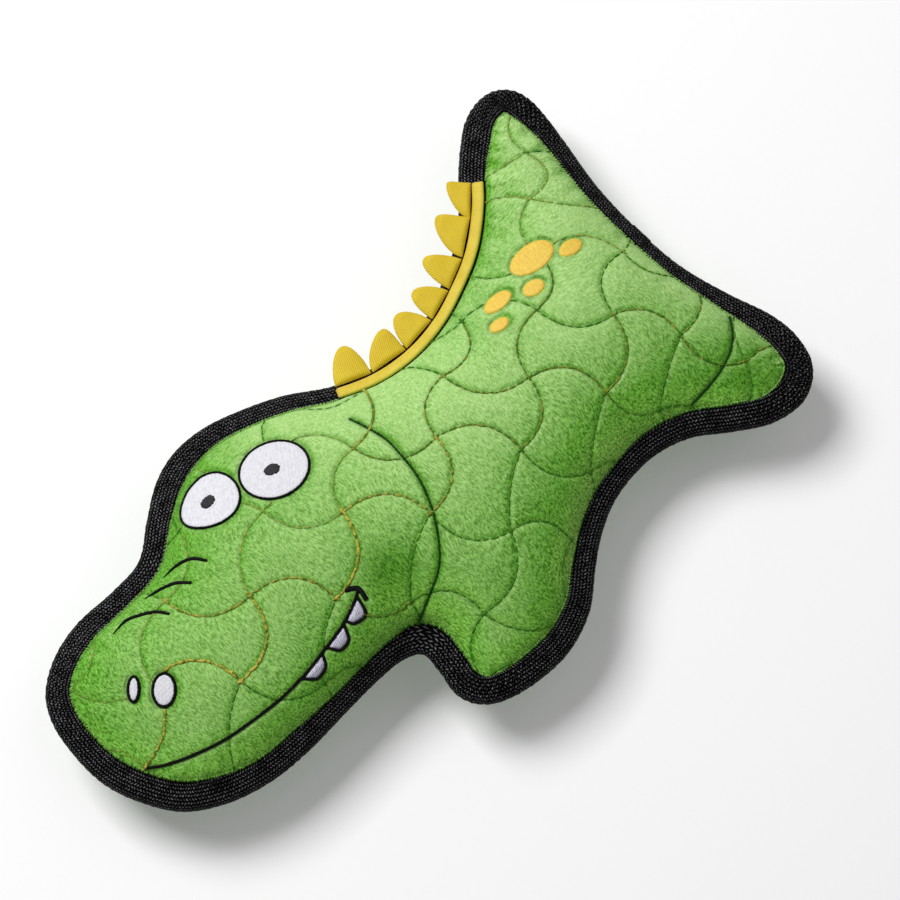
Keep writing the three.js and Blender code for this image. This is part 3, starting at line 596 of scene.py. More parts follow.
def within(polygon, places):
    """Which places lie inside a polygon."""
    x, y = np.asarray(places, float)[:, :2].T
    odd = np.zeros(len(x), bool)
    for (ax, ay), (bx, by) in zip(polygon[:, :2], np.roll(polygon, -1, 0)[:, :2]):
        if ay != by:
            odd ^= ((ay > y) != (by > y)) & (x < ax + (y - ay) * (bx - ax) / (by - ay))
    return odd


def smooth_path(rows, closed, steps=12):
    """A centripetal curve through rows of numbers."""
    rows = np.asarray(rows, float)
    if not closed:
        rows = np.vstack([2 * rows[0] - rows[1], rows, 2 * rows[-1] - rows[-2]])
    p0, p1, p2, p3 = (np.roll(rows, k, 0) for k in (1, 0, -1, -2))
    length = [np.sqrt(np.linalg.norm(b - a, axis=1))[:, None] for a, b in ((p0, p1), (p1, p2), (p2, p3))]
    t1 = length[0]
    t2 = t1 + length[1]
    t3 = t2 + length[2]
    found = []
    for share in np.arange(steps) / steps:
        t = t1 + (t2 - t1) * share
        a1 = ((t1 - t) * p0 + t * p1) / t1
        a2 = ((t2 - t) * p1 + (t - t1) * p2) / (t2 - t1)
        a3 = ((t3 - t) * p2 + (t - t2) * p3) / (t3 - t2)
        b1 = ((t2 - t) * a1 + t * a2) / t2
        b2 = ((t3 - t) * a2 + (t - t1) * a3) / (t3 - t1)
        found.append(((t2 - t) * b1 + (t - t1) * b2) / (t2 - t1))
    path = np.stack(found, 1)
    if closed:
        return path.reshape(-1, rows.shape[1])
    return np.vstack([path[1:-2].reshape(-1, rows.shape[1]), rows[-2]])


def evenly(path, pitch, closed=False):
    """The same path with a point at each step of about one pitch."""
    path = np.asarray(path, float)
    if closed:
        path = np.vstack([path, path[:1]])
    run = np.r_[0, np.cumsum(np.linalg.norm(np.diff(path[:, :2], axis=0), axis=1))]
    count = max(3, round(run[-1] / pitch))
    at = np.linspace(0, run[-1], count + 1)
    return np.stack([np.interp(at[:-1] if closed else at, run, column) for column in path.T], 1)


def unit(vectors):
    return vectors / np.linalg.norm(vectors, axis=1)[:, None]


def leftwards(directions):
    return np.stack([-directions[:, 1], directions[:, 0]], 1)


def ripple(points, size, seed=0.0):
    """Smooth noise from about -1 to 1 with a given size of lump."""
    places = (np.asarray(points, float)[:, :2] / size).tolist()
    return np.array([noise.noise(Vector((x, y, seed))) for x, y in places])


def around(values, reach, step=1):
    """Values averaged with their neighbours round the outline."""
    return np.mean([np.roll(values, k) for k in range(-reach, reach + 1, step)], 0)


# Outline of the webbing, its headings, and how far the webbing gathers where the outline turns

edge = evenly(smooth_path(OUTLINE, True), EDGE_PITCH, closed=True)
EDGE_COUNT = len(edge)
heading = unit(np.roll(edge, -2, 0)[:, :2] - np.roll(edge, 2, 0)[:, :2])
inward = -leftwards(heading)
edge_steps = np.linalg.norm(np.roll(edge, -1, 0)[:, :2] - edge[:, :2], axis=1)
EDGE_LENGTH = edge_steps.sum()
edge_run = np.r_[0, np.cumsum(edge_steps)[:-1]]
turning = np.cross(np.roll(heading, 6, 0), np.roll(heading, -6, 0)) / (12 * edge_steps.mean())
bend = -around(turning, 8)  # above zero where the outline is convex
wide_bend = np.max([np.roll(bend, k) for k in range(-14, 15, 2)], 0)
GATHER = around(0.25 + np.clip(wide_bend * 26 - 0.3, 0, 1), 8, 2)


def inset(depth):
    return edge[:, :2] + inward * np.reshape(depth, (-1, 1))


def edge_index(place):
    """The point of the outline that is nearest to a place."""
    return int(np.argmin(np.linalg.norm(edge[:, :2] - place, axis=1)))


def ridge_path():
    """Indices of the outline from the tape's start to its end, measured where the spikes are sewn in."""
    seam = inset(edge[:, 2] - TAPE["inset"] - TAPE["width"])
    path = [edge_index(RIDGE_FROM)]
    run = 0.0
    while run < RIDGE_LENGTH:
        path.append((path[-1] + 1) % EDGE_COUNT)
        run += np.linalg.norm(seam[path[-1]] - seam[path[-2]])
    return np.array(path)


# The part of the outline that the tape covers, and the rim where the plush comes out of the webbing
ridge = ridge_path()
RIDGE_SHARE = around(np.isin(np.arange(EDGE_COUNT), ridge), 3)
rim = inset(edge[:, 2] + CLEARANCE)
near_rim = nearest(rim)


# Swelling: a membrane held at the rim and pushed up evenly

def relax_membrane():
    """Its height over a grid, solved by sweeps over the grid's two colours in turn."""
    pitch, (half_x, half_y) = MEMBRANE["pitch"], MEMBRANE["half"]
    xs = np.arange(-half_x, half_x + pitch / 2, pitch)
    ys = np.arange(-half_y, half_y + pitch / 2, pitch)
    grid = np.stack(np.meshgrid(xs, ys, indexing="ij"), -1)
    free = within(rim[::2], grid.reshape(-1, 2)).reshape(grid.shape[:2])
    height = np.zeros(free.shape)
    checks = (np.add.outer(np.arange(len(xs)), np.arange(len(ys))) % 2 == 0)[1:-1, 1:-1]
    colours = [free[1:-1, 1:-1] & checks, free[1:-1, 1:-1] & ~checks]
    overshoot = 2 / (1 + math.sin(math.pi * pitch / (2 * half_y)))
    inner = height[1:-1, 1:-1]
    for _ in range(MEMBRANE["sweeps"]):
        for colour in colours:
            around = height[:-2, 1:-1] + height[2:, 1:-1] + height[1:-1, :-2] + height[1:-1, 2:]
            inner[colour] += overshoot * ((around[colour] + pitch * pitch) / 4 - inner[colour])
    return height / height.max()


membrane = relax_membrane()


def read_grid(grid, places):
    """Heights between the points of the membrane's grid."""
    pitch, half = MEMBRANE["pitch"], MEMBRANE["half"]
    at = (np.asarray(places, float)[:, :2] + half) / pitch
    cell = np.clip(np.floor(at).astype(int), 0, np.array(grid.shape) - 2)
    share = np.clip(at - cell, 0, 1)
    i, j = cell.T
    u, v = share.T
    low = grid[i, j] * (1 - v) + grid[i, j + 1] * v
    high = grid[i + 1, j] * (1 - v) + grid[i + 1, j + 1] * v
    return low * (1 - u) + high * u


def swell(places):
    """How far the plush swells up, with each place's distance from the rim and its nearest point there."""
    away, index = near_rim(places)
    moved = np.array(places, float)[:, :2]
    close = away < RIM_BAND
    moved[close] = rim[index[close]] + inward[index[close]] * RIM_BAND
    level = read_grid(membrane, moved)
    level[close] *= away[close] / RIM_BAND
    return CROWN_RISE * np.maximum(level, 0) ** SWELL_POWER, away, index


# Quilting: arcs between crossings, bulging to either side in turn

def all_crossings(reach=7):
    """The listed crossings, and the ones around them at the same spacing."""
    rows = np.array(CROSSINGS, float)
    grid = np.c_[np.ones(len(rows)), rows[:, :2]]
    even, *_ = np.linalg.lstsq(grid, rows[:, 2:], rcond=None)
    left = rows[:, 2:] - grid @ even
    found = {}
    for i in range(-reach, reach + 2):
        for j in range(-reach, reach):
            gap = ((rows[:, :2] - (i, j)) ** 2).sum(1)
            weight = 1 / (gap + 1e-6) ** 1.5
            found[i, j] = np.array([1, i, j]) @ even + weight @ left / weight.sum()
    return found


def arc(start, end, side, bulge, count=24):
    """A round arc between two points that bulges to one side."""
    chord = end - start
    normal = np.array([-chord[1], chord[0]])
    share = np.linspace(0, 1, count)[:, None]
    return start + chord * share + normal * side * bulge * 4 * share * (1 - share)


def quilt_lines():
    """The arcs of the quilting, each with the way its thread shows."""
    crossings = all_crossings()
    shown = {(way, at): kind for kind, ways in THREADS.items() for way, ats in ways.items() for at in ats}
    lines = []
    for (i, j), start in crossings.items():
        side = 1 if (i + j) % 2 == 0 else -1
        for way, step in (("row", (1, 0)), ("column", (0, 1))):
            end = crossings.get((i + step[0], j + step[1]))
            bulge = BULGES[way].get((i, j), QUILT_BULGE)
            if end is not None:
                lines.append((arc(start, end, side, bulge), shown.get((way, (i, j)), "sunk")))
    return lines


def clipped(lines, keep):
    """The stretches of lines whose points pass a test."""
    found = []
    for line in lines:
        line = evenly(line, EDGE_PITCH)
        good = keep(line)
        starts = np.flatnonzero(good & ~np.r_[False, good[:-1]])
        ends = np.flatnonzero(good & ~np.r_[good[1:], False])
        found += [line[a : b + 1] for a, b in zip(starts, ends) if b - a > 3]
    return found


def oval(at, size, turn, egg=0.0, shrink=0.0):
    angle = np.linspace(0, 2 * math.pi, 96, endpoint=False)
    u = (size[0] - shrink) * np.cos(angle)
    v = (size[1] - shrink) * np.sin(angle) * (1 + egg * np.cos(angle))
    c, s = math.cos(math.radians(turn)), math.sin(math.radians(turn))
    return np.stack([at[0] + u * c - v * s, at[1] + u * s + v * c], 1)


def rounded(corners, times=3):
    """A closed outline with its corners cut back a few times."""
    points = np.asarray(corners, float)
    for k in range(times):
        after = np.roll(points, -1, 0)
        share = 0.12 if k == 0 else 0.25
        points = np.stack([points * (1 - share) + after * share, points * share + after * (1 - share)], 1)
        points = points.reshape(-1, 2)
    return points


head_seam, foot_seam = (evenly(smooth_path(line, False), EDGE_PITCH) for line in (HEAD_LINE, FOOT_LINE))
eye_outlines = [oval(*eye[:4]) for eye in EYES.values()]
nostril_outlines = [oval(*nostril) for nostril in NOSTRILS.values()]
spot_outlines = [oval(*spot) for spot in SPOTS]
tooth_outlines = [rounded(tooth) for tooth in TEETH]
mouth_path, corner_path, *wrinkle_paths = (evenly(smooth_path(line, False), LINE_PITCH)
                                           for line in (MOUTH, MOUTH_CORNER, *WRINKLES))
fields = [*eye_outlines, *nostril_outlines, *spot_outlines, *tooth_outlines]


def grid_within(outline, pitch):
    """A square grid of places inside an outline."""
    columns, rows = (np.arange(a, b, pitch) for a, b in zip(outline.min(0), outline.max(0)))
    spots = np.stack(np.meshgrid(columns, rows), -1).reshape(-1, 2)
    return spots[within(outline, spots)]


field_places = [part for outline in fields for part in (grid_within(outline, 0.9), outline[::2])]
near_field = nearest(np.vstack(field_places))
near_line = nearest(np.vstack([mouth_path, corner_path, *wrinkle_paths]))
near_seam = nearest(np.vstack([head_seam, foot_seam]))


def inside_rim(line):
    return within(rim, line) & (near_rim(line)[0] > STITCH_CLEAR["rim"])


def open_face(line):
    """Where a quilting line shows: inside the rim and off the embroidery."""
    return inside_rim(line) & (near_field(line)[0] > STITCH_CLEAR["field"])


arcs = quilt_lines()
quilt_kinds = {kind: clipped([line for line, shown in arcs if shown == kind], open_face)
               for kind in (*THREADS, "sunk")}
front_quilt = [line for lines in quilt_kinds.values() for line in lines]
back_quilt = clipped([line * (-1, 1) + BACK_SHIFT for line, _ in arcs], inside_rim)
near_quilt = {1: nearest(np.vstack(front_quilt)), -1: nearest(np.vstack(back_quilt))}


def bell(distance, width):
    return np.exp(-((distance / width) ** 2))


def skin(side, places, pile=False):
    """Level of the plush above the floor, on the face side (1) or the back (-1)."""
    rise, away, index = swell(places)
    quilt, _ = near_quilt[side](places)
    free = np.clip(away / 9, 0, 1)
    groove = bell(quilt, QUILT["groove_width"]) * QUILT["groove"]
    puff = (1 - bell(quilt, QUILT["puff_width"])) * QUILT["puff"] - groove
    run = np.c_[edge_run[index] / GATHERED["size"], np.zeros(len(index))]
    gathers = ripple(run, 1, 3.1 * side) * bell(away, GATHERED["reach"]) * np.clip(away / 2, 0, 1)
    gathers = gathers * GATHERED["height"]
    lumps = ripple(places, LUMPS["size"], 1.7 * side) * LUMPS["height"] * free
    if side > 0:
        seam, _ = near_seam(places)
        field, _ = near_field(places)
        line, _ = near_line(places)
        rise = rise - np.minimum(SEAM_DIP["depth"], rise / 3) * bell(seam, SEAM_DIP["reach"])
        rise = rise + RIDGE_LIFT * RIDGE_SHARE[index] * np.clip(away / 0.6, 0, 1) * bell(away, 5)
        rise = rise - SEAM_DIP["groove"] * bell(seam, 1.0) * np.clip(away / 4, 0, 1)
        puff = puff * np.clip(seam / 3, 0, 1)
        under_field = 1 - np.clip(field / PRESSED["field_reach"], 0, 1)
        rise = rise - PRESSED["field"] * under_field - PRESSED["line"] * bell(line, PRESSED["line_reach"])
        rise = rise + puff * free * np.clip(field / 3, 0, 1) + gathers + lumps
    else:
        rise = SETTLE["gain"] * rise
        pressed = np.maximum(rise - SETTLE["start"], 0)
        rise = np.minimum(rise - SETTLE["bend"] * pressed**2, CROWN_RISE)
        flat = np.clip((CROWN_RISE - rise) / 3, 0, 1)
        rise = rise + (puff + lumps) * free * flat - groove * (1 - flat) * 0.6 + gathers
        rise = np.minimum(rise, CROWN_RISE)
    if pile:
        tufts = ripple(places, 2.2, 5) + ripple(places, 1.1, 9)
        rise = rise + tufts * PILE_RELIEF * np.clip(away / 2, 0.3, 1)
    return SEAM_HEIGHT + side * (EDGE_RISE + rise)


def lattice(pitch, clear):
    """A close triangular grid of places inside the rim."""
    half_x, half_y = MEMBRANE["half"]
    rows = np.arange(-half_y, half_y, pitch * math.sqrt(0.75))
    columns = np.arange(-half_x, half_x, pitch)
    x, y = np.meshgrid(columns, rows)
    x = x + (np.arange(len(rows)) % 2)[:, None] * pitch / 2
    spots = np.stack([x.ravel(), y.ravel()], 1)
    spots = spots[within(rim, spots)]
    return spots[near_rim(spots)[0] > clear]


def beside(lines):
    """Rows of places on sewn lines and at both sides of them."""
    rows = []
    for line in lines:
        across = leftwards(unit(np.gradient(line[:, :2], axis=0)))
        rows += [line[:, :2] + across * shift for shift in SEWN_ROWS]
    return np.vstack(rows)


def thinned(places, cell=0.5):
    """One place for each small square."""
    _, first = np.unique(np.round(places / cell).astype(int), axis=0, return_index=True)
    return places[np.sort(first)]


def triangulated(ring, inside):
    """Places and triangles that fill a ring, the ring's own places first."""
    count = len(ring)
    places = [Vector(p) for p in np.vstack([ring, inside]).tolist()]
    edges = [(i, (i + 1) % count) for i in range(count)]
    out, _, faces, origin, _, _ = delaunay_2d_cdt(places, edges, [], 1, 1e-6, True)
    order = np.array([ids[0] for ids in origin])
    back = np.argsort(order)
    renumber = np.empty(len(order), int)
    renumber[back] = np.arange(len(order))
    flat = np.array([(v.x, v.y) for v in out])[back]
    triangles = renumber[np.array(faces)]
    a, b, c = (flat[triangles[:, k]] for k in range(3))
    clockwise = np.cross(b - a, c - a) < 0
    triangles[clockwise] = triangles[clockwise][:, ::-1]
    return flat, triangles[within(ring, flat[triangles].mean(1))]


def crease_shade_share(side, places):
    """Painted shade in the creases along sewn lines and round the embroidery, from 0 to 1."""
    quilt = bell(near_quilt[side](places)[0], CREASE_SHADE_PAINT["quilt"]) * CREASE_SHADE_PAINT["quilt_depth"]
    quilt = quilt * np.clip(0.55 + ripple(places, 1.5, 31) * 0.9 + ripple(places, 9, 32) * 0.4, 0, 1)
    if side < 0:
        return quilt
    field = bell(near_field(places)[0] - 0.5, CREASE_SHADE_PAINT["field"]) * CREASE_SHADE_PAINT["field_depth"]
    field = field * np.clip(0.6 + ripple(places, 3.5, 13) * 1.2, 0, 1)
    return np.max([quilt, field, bell(near_seam(places)[0], CREASE_SHADE_PAINT["seam"])], 0)


def paint_shade_and_light(side, places):
    """Painted shade at each place, from 0 to 1, or painted light, below 0."""
    share = np.zeros(len(places))
    for x, y, radius, depth in PAINTED_SHADE_AND_LIGHT_PATCHES if side > 0 else []:
        share += bell(np.linalg.norm(places - (x, y), axis=1), radius) * depth
    return share


def panel(side):
    """A padded plush panel with its flange inside the webbing, closed by an inner skin."""
    pitch = PANEL_PITCH[side]
    bands = []
    for depth in RIM_ROWS:
        ring = inset(edge[:, 2] + CLEARANCE + depth)
        bands.append(ring[near_rim(ring)[0] > depth * 0.96])
    sewn = thinned(beside([*front_quilt, head_seam, foot_seam] if side > 0 else back_quilt))
    sewn = sewn[within(rim, sewn)]
    sewn = sewn[near_rim(sewn)[0] > RIM_CLEAR["sewn"]]
    open_spots = lattice(pitch, RIM_CLEAR["open"])
    open_spots = open_spots[nearest(sewn)(open_spots)[0] > pitch * 0.55]
    places, faces = triangulated(rim, np.vstack([*bands, sewn, open_spots]))
    outer = np.c_[places, skin(side, places, pile=True)]
    inner_places, inner_faces = triangulated(rim, lattice(UNDER_PITCH, RIM_CLEAR["open"]))
    under = np.c_[inner_places, skin(side, inner_places) - side * PLUSH]
    points = []
    for surface, thick in ((outer, 0), (under, PLUSH)):
        points.append(surface)
        for share in FLANGE_ROWS:
            depth = (edge[:, 2] + CLEARANCE) * (1 - share) + FLANGE_START * share
            height = EDGE_RISE * (1 - share) + FLANGE_RISE * share
            points.append(np.c_[inset(depth), np.full(EDGE_COUNT, SEAM_HEIGHT + side * (height - thick))])
    starts = np.cumsum([0] + [len(p) for p in points])
    rings = [starts[k] + np.arange(EDGE_COUNT) for k in (0, 1, 2, 3, 7, 6, 5, 4)]
    pairs = zip(rings, rings[1:])
    quads = np.vstack([np.stack([a, np.roll(a, -1), np.roll(b, -1), b], 1) for a, b in pairs])
    below = inner_faces[:, ::-1] + starts[4]
    all_faces = faces.tolist() + quads.tolist() + below.tolist()
    if side < 0:
        all_faces = [face[::-1] for face in all_faces]
    # Painted crease shade, and painted patches of shade and light, kept at the panel's points
    shades = {"painted_crease_shade": crease_shade_share(side, places), "painted_shade_and_light": paint_shade_and_light(side, places)}
    shades = {name: np.r_[shade, np.zeros(starts[-1] - len(places))] for name, shade in shades.items()}
    return np.vstack(points), all_faces, shades


# Sweeps

def swept(rings, run, uv_across, length=None):
    """Faces and cloth coordinates for rings of points, closed over a length or else capped at the ends."""
    count, size = len(rings), len(rings[0])
    faces, uv = [], []
    if length:
        run = np.r_[run, length]
    for i in range(len(run) - 1):
        j = (i + 1) % count
        for k in range(size):
            m = (k + 1) % size
            faces.append((i * size + k, i * size + m, j * size + m, j * size + k))
            uv += [(run[i], uv_across[i][k]), (run[i], uv_across[i][k + 1]),
                   (run[i + 1], uv_across[j][k + 1]), (run[i + 1], uv_across[j][k])]
    if not length:
        last = (count - 1) * size
        faces += [tuple(range(size))[::-1], tuple(range(last, last + size))]
        uv += [(run[0], uv_across[0][k]) for k in range(size)][::-1]
        uv += [(run[count - 1], uv_across[-1][k]) for k in range(size)]
    return faces, uv


# Webbing

def leg_height(width, depth):
    """Height of the webbing's upper leg above the seam, at a depth from the outline."""
    return FOLD_HALF + (LEG_TOP - FOLD_HALF) * (depth - FOLD_START) / (width - FOLD_START)


def fold_section(width):
    """The outside of the webbing from its folded middle to one long edge: depth, height, distance."""
    join = np.array([2.0, leg_height(width, 2.0)])
    share = np.linspace(0, 1, 16)[:, None]
    turn = 2 * share * (1 - share) * np.array([0, 2.6]) + share**2 * join
    leg = np.array([[width, LEG_TOP]])
    path = evenly(np.vstack([turn, leg]), np.linalg.norm(leg - join) / 400)
    run = np.r_[0, np.cumsum(np.linalg.norm(np.diff(path, axis=0), axis=1))]
    at = np.linspace(0, run[-1], SECTION_COUNT)
    return np.stack([np.interp(at, run, path[:, 0]), np.interp(at, run, path[:, 1]), at], 1)


def webbing_rings(first=0, last=EDGE_COUNT, proud=0.0):
    """Sections of the folded webbing with its rows standing up, gathered where the outline turns."""
    rings, across = [], []
    for i in range(first, last):
        k = i % EDGE_COUNT
        section = fold_section(edge[k, 2])
        depth, height, run = section.T
        tangent = unit(np.gradient(section[:, :2], axis=0))
        rows = WEAVE["ridge"] * (np.abs(np.sin(math.pi * run / WEAVE["row"])) - 0.5)
        slant = 2 * math.pi * (edge_run[k] + run * 0.9) / PLEAT["pitch"]
        pleat = PLEAT["height"] * GATHER[k] * np.sin(slant) * np.clip(run / 7, 0, 1)
        pleat = pleat * np.clip((run[-1] - run) / 3, 0, 1)
        waver = 0.25 * noise.noise(Vector((edge_run[k] / 14, 2.0, 7.0)))
        knot = 0.28 * noise.noise(Vector((edge_run[k] / 1.5, 1.0, 2.0))) * np.clip(1 - run / 5, 0, 1)
        lift = rows + pleat + knot + waver * np.clip(run / 6, 0, 1) + proud
        lift[-1] -= 0.25
        out_depth = depth - tangent[:, 1] * lift
        out_height = height + tangent[:, 0] * lift
        upper = np.stack([out_depth, out_height], 1)
        half = np.vstack([upper[:0:-1], upper[:1] * (1, 0)])
        lower = upper[1:] * (1, -1)
        inner = np.array([(edge[k, 2], LEG_END), *INSIDE])
        ring = np.vstack([half, lower, inner * (1, -1), inner[::-1]])
        flat = edge[k, :2] + inward[k] * ring[:, :1]
        rings.append(np.c_[flat, SEAM_HEIGHT + ring[:, 1]])
        inside_run = run[-1] + 1 + np.arange(len(inner))
        across.append(np.r_[-run[::-1], run[1:], inside_run, -inside_run[::-1], -run[-1]])
    return rings, across


def add_webbing(finish):
    rings, across = webbing_rings()
    faces, uv = swept(rings, edge_run, across, EDGE_LENGTH)
    made = piece("webbing", np.vstack(rings), faces, finish, uv=uv)
    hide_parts("edge_webbing")
    first = edge_index(LAP["at"])
    last = first + LAP["count"]
    rings, across = webbing_rings(first, last, LAP["proud"])
    faces, uv = swept(rings, edge_run[np.arange(first, last) % EDGE_COUNT], across)
    piece("webbing_lap", np.vstack(rings), faces, finish, uv=uv)


# Embroidery

def add_field(name, outline, kind, finish, node):
    """A field of stitches that swells a little from its outline."""
    proud, above = FIELDS[kind]
    ring = evenly(outline, FIELD_PITCH, closed=True)
    near_ring = nearest(ring)
    spots = grid_within(ring, FIELD_PITCH)
    places, faces = triangulated(ring, spots[near_ring(spots)[0] > FIELD_PITCH * 0.6])
    level = np.sin(np.clip(near_ring(places)[0] / 1.1, 0, 1) * math.pi / 2)
    base = skin(1, places) + above
    upper = np.c_[places, base + proud * level]
    lower = np.c_[places, base - 0.5]
    count = len(places)
    size = len(ring)
    walls = [(i, i + count, (i + 1) % size + count, (i + 1) % size) for i in range(size)]
    made = piece(name, np.vstack([upper, lower]),
                 faces.tolist() + (faces[:, ::-1] + count).tolist() + walls, finish)
    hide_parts(node)


def cord_rings(path, kind, closed):
    """Sections of a raised satin line that follows the face panel."""
    width, above, start, end = CORDS[kind]
    angle = np.linspace(0, 2 * math.pi, CORD["sides"], endpoint=False)
    direction = np.roll(path, -1, 0) - np.roll(path, 1, 0) if closed else np.gradient(path, axis=0)
    across = leftwards(unit(direction))
    rings = []
    for i, place in enumerate(path):
        share = i / (len(path) - 1)
        rise, fall = min(1.0, share / 0.3), min(1.0, (1 - share) / 0.3)
        drawn = width * (start + (1 - start) * rise) * (end + (1 - end) * fall)
        uneven = noise.noise(Vector((place[0] / 0.7, place[1] / 0.7, 3.0)))
        wide = drawn / 2 * (1 + 0.22 * uneven)
        flat = place + across[i] * (np.cos(angle) * wide + 0.1 * uneven)[:, None]
        level = skin(1, place[None])[0] + above
        rings.append(np.c_[flat, level + np.sin(angle) * CORD["height"] * min(1.0, wide / 0.45)])
    return rings


def add_cords(name, lines, kind, finish, nodes, closed=False):
    """Raised black satin lines, joined in one piece."""
    points, faces, uv = [], [], []
    for line in lines:
        rings = cord_rings(evenly(line, LINE_PITCH, closed), kind, closed)
        run = np.arange(len(rings)) * LINE_PITCH
        across = [np.linspace(0, 3, CORD["sides"] + 1)] * len(rings)
        more, more_uv = swept(rings, run, across, run[-1] + LINE_PITCH if closed else None)
        start = sum(len(p) for p in points)
        points.append(np.vstack(rings))
        faces += [tuple(k + start for k in face) for face in more]
        uv += more_uv
    made = piece(name, np.vstack(points), faces, finish, uv=uv)
    if nodes:
        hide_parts(*nodes)


def add_embroidery(finishes):
    black, white, ivory, gold = (finishes[k] for k in ("black", "white", "ivory", "gold"))
    for side, (*shape, (x, y, turn)) in EYES.items():
        outline = oval(*shape, shrink=BORDER * 0.5)
        add_field(side + "_eye_field", outline, "eye", white, side + "_eye_white")
        add_cords(side + "_eye_ring", [outline], "eye", black, [side + "_eye_border"], True)
        add_field(side + "_pupil_field", oval((x, y), PUPIL, turn), "pupil", finishes["black_field"],
                  side + "_pupil")
    for side, nostril in NOSTRILS.items():
        outline = oval(*nostril, shrink=BORDER * 0.5)
        add_field(side + "_nostril_field", outline, "nostril", white,
                  side + "_nostril_white")
        add_cords(side + "_nostril_ring", [outline], "nostril", black, [side + "_nostril_border"], True)
    for i, outline in enumerate(spot_outlines, 1):
        add_field(f"spot_{i}_field", outline, "spot", gold, f"spot_{i}")
    for i, outline in enumerate(tooth_outlines, 1):
        add_field(f"tooth_{i}_field", outline, "tooth", ivory, f"tooth_{i}")
    edges = [smooth_path(tooth, False, 8) for tooth in TEETH]
    add_cords("mouth_stitching", [mouth_path, *edges], "mouth", black, ["mouth_line"])
    add_cords("mouth_corner_stitching", [corner_path], "corner", black, [])
    for i, path in enumerate(wrinkle_paths, 1):
        add_cords(f"nose_wrinkle_{i}_stitching", [path], "wrinkle", black, [f"nose_wrinkle_{i}"])


# Ridge

def add_tape(finish):
    """Padded yellow tape over the webbing's inner edge, with its ends tucked down."""
    rings, across = [], []
    angle = np.linspace(0, math.pi, 13)
    for n, k in enumerate(ridge):
        away = min(n, len(ridge) - 1 - n) * EDGE_PITCH
        tuck = math.sqrt(1 - (1 - min(1, away / 1.6)) ** 2) if away < 1.6 else 1.0
        middle = edge[k, 2] - TAPE["inset"] - TAPE["width"] / 2
        waver = 0.12 * noise.noise(Vector((edge_run[k] / 6, 4.0, 1.0)))
        half = TAPE["width"] / 2 * (0.8 + 0.2 * tuck)
        u = middle + np.cos(angle) * half
        z = 0.15 + (TAPE["crown"] + waver) * np.sin(angle) ** 0.75 * tuck
        top = np.stack([u, z], 1)
        ring = np.vstack([top, [(middle - half, 0.1), (middle + half, 0.1)]])
        flat = edge[k, :2] + inward[k] * ring[:, :1]
        level = SEAM_HEIGHT + leg_height(edge[k, 2], ring[:, 0]) + ring[:, 1]
        rings.append(np.c_[flat, level])
        across.append(np.r_[np.linspace(0, 7, len(angle)), 7, 0, 0])
    faces, uv = swept(rings, np.arange(len(ridge)) * EDGE_PITCH, across)
    made = piece("ridge_binding", np.vstack(rings), faces, finish, uv=uv)
    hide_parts("ridge_tape")


def bezier(points, share):
    a, b, c, d = (np.array(p, float) for p in points)
    s = share[:, None]
    return a * (1 - s) ** 3 + 3 * b * s * (1 - s) ** 2 + 3 * c * s**2 * (1 - s) + d * s**3


def spike_points(half_width, lean, reach):
    """A ribbed petal in its own axes: across the base, out to the tip and through the thickness."""
    foot, top = -SPIKE["half"], reach - SPIKE["clear"] - SPIKE["half"]
    round_, tip = half_width * SPIKE["round"], SPIKE["tip"]
    share = np.linspace(0, 1, 60)
    sides = []
    for sign in (-1, 1):
        path = [(sign * half_width, foot), (sign * (half_width - SPIKE["pinch"]), top * SPIKE["shoulder"]),
                (lean + sign * round_, top), (lean + sign * tip * 0.3, top)]
        sides.append(bezier(path, share))
    levels = foot + (top - foot) * (1 - (1 - np.linspace(0, 1, 34)) ** 1.6)
    left, right = (np.interp(levels, side[:, 1], side[:, 0]) for side in sides)
    points, uv = [], []
    columns = np.linspace(-1, 1, 33)
    for level, a, b in zip(levels, left, right):
        out = (level - foot) / (top - foot)
        x = (a + b) / 2 + (b - a) / 2 * columns
        heel = max(0.0, 1 - (level - foot) / SPIKE["half"])
        full = SPIKE["half"] * (1 - 0.25 * out) * min(1.0, 0.35 + (1 - out) * 3.2)
        full *= math.sqrt(1 - 0.95 * heel**2)
        dome = full * (1 - np.abs(columns) ** 2.6) ** 0.55
        spread = x - lean * out**1.4
        rib = SPIKE["rib"] * np.cos(2 * math.pi * spread / RIB)
        edge_lip = SPIKE["lip"] * (1 - heel) * bell(1 - np.abs(columns), 0.08)
        thick = np.maximum(dome + rib * (np.abs(columns) < 0.97), 0.12) + edge_lip
        points.append(np.stack([x, np.full_like(x, level), thick], 1))
        uv.append(np.stack([np.full_like(x, level), spread], 1))
    return np.array(points), np.array(uv)


def spike_half_width(n, across):
    """Half of a spike's base, from its solid."""
    node = frame["nodes"][f"spike_{n}"]
    along = [Vector(across).dot(v.co) for v in node.data.vertices]
    return (max(along) - min(along)) / 2 / MM


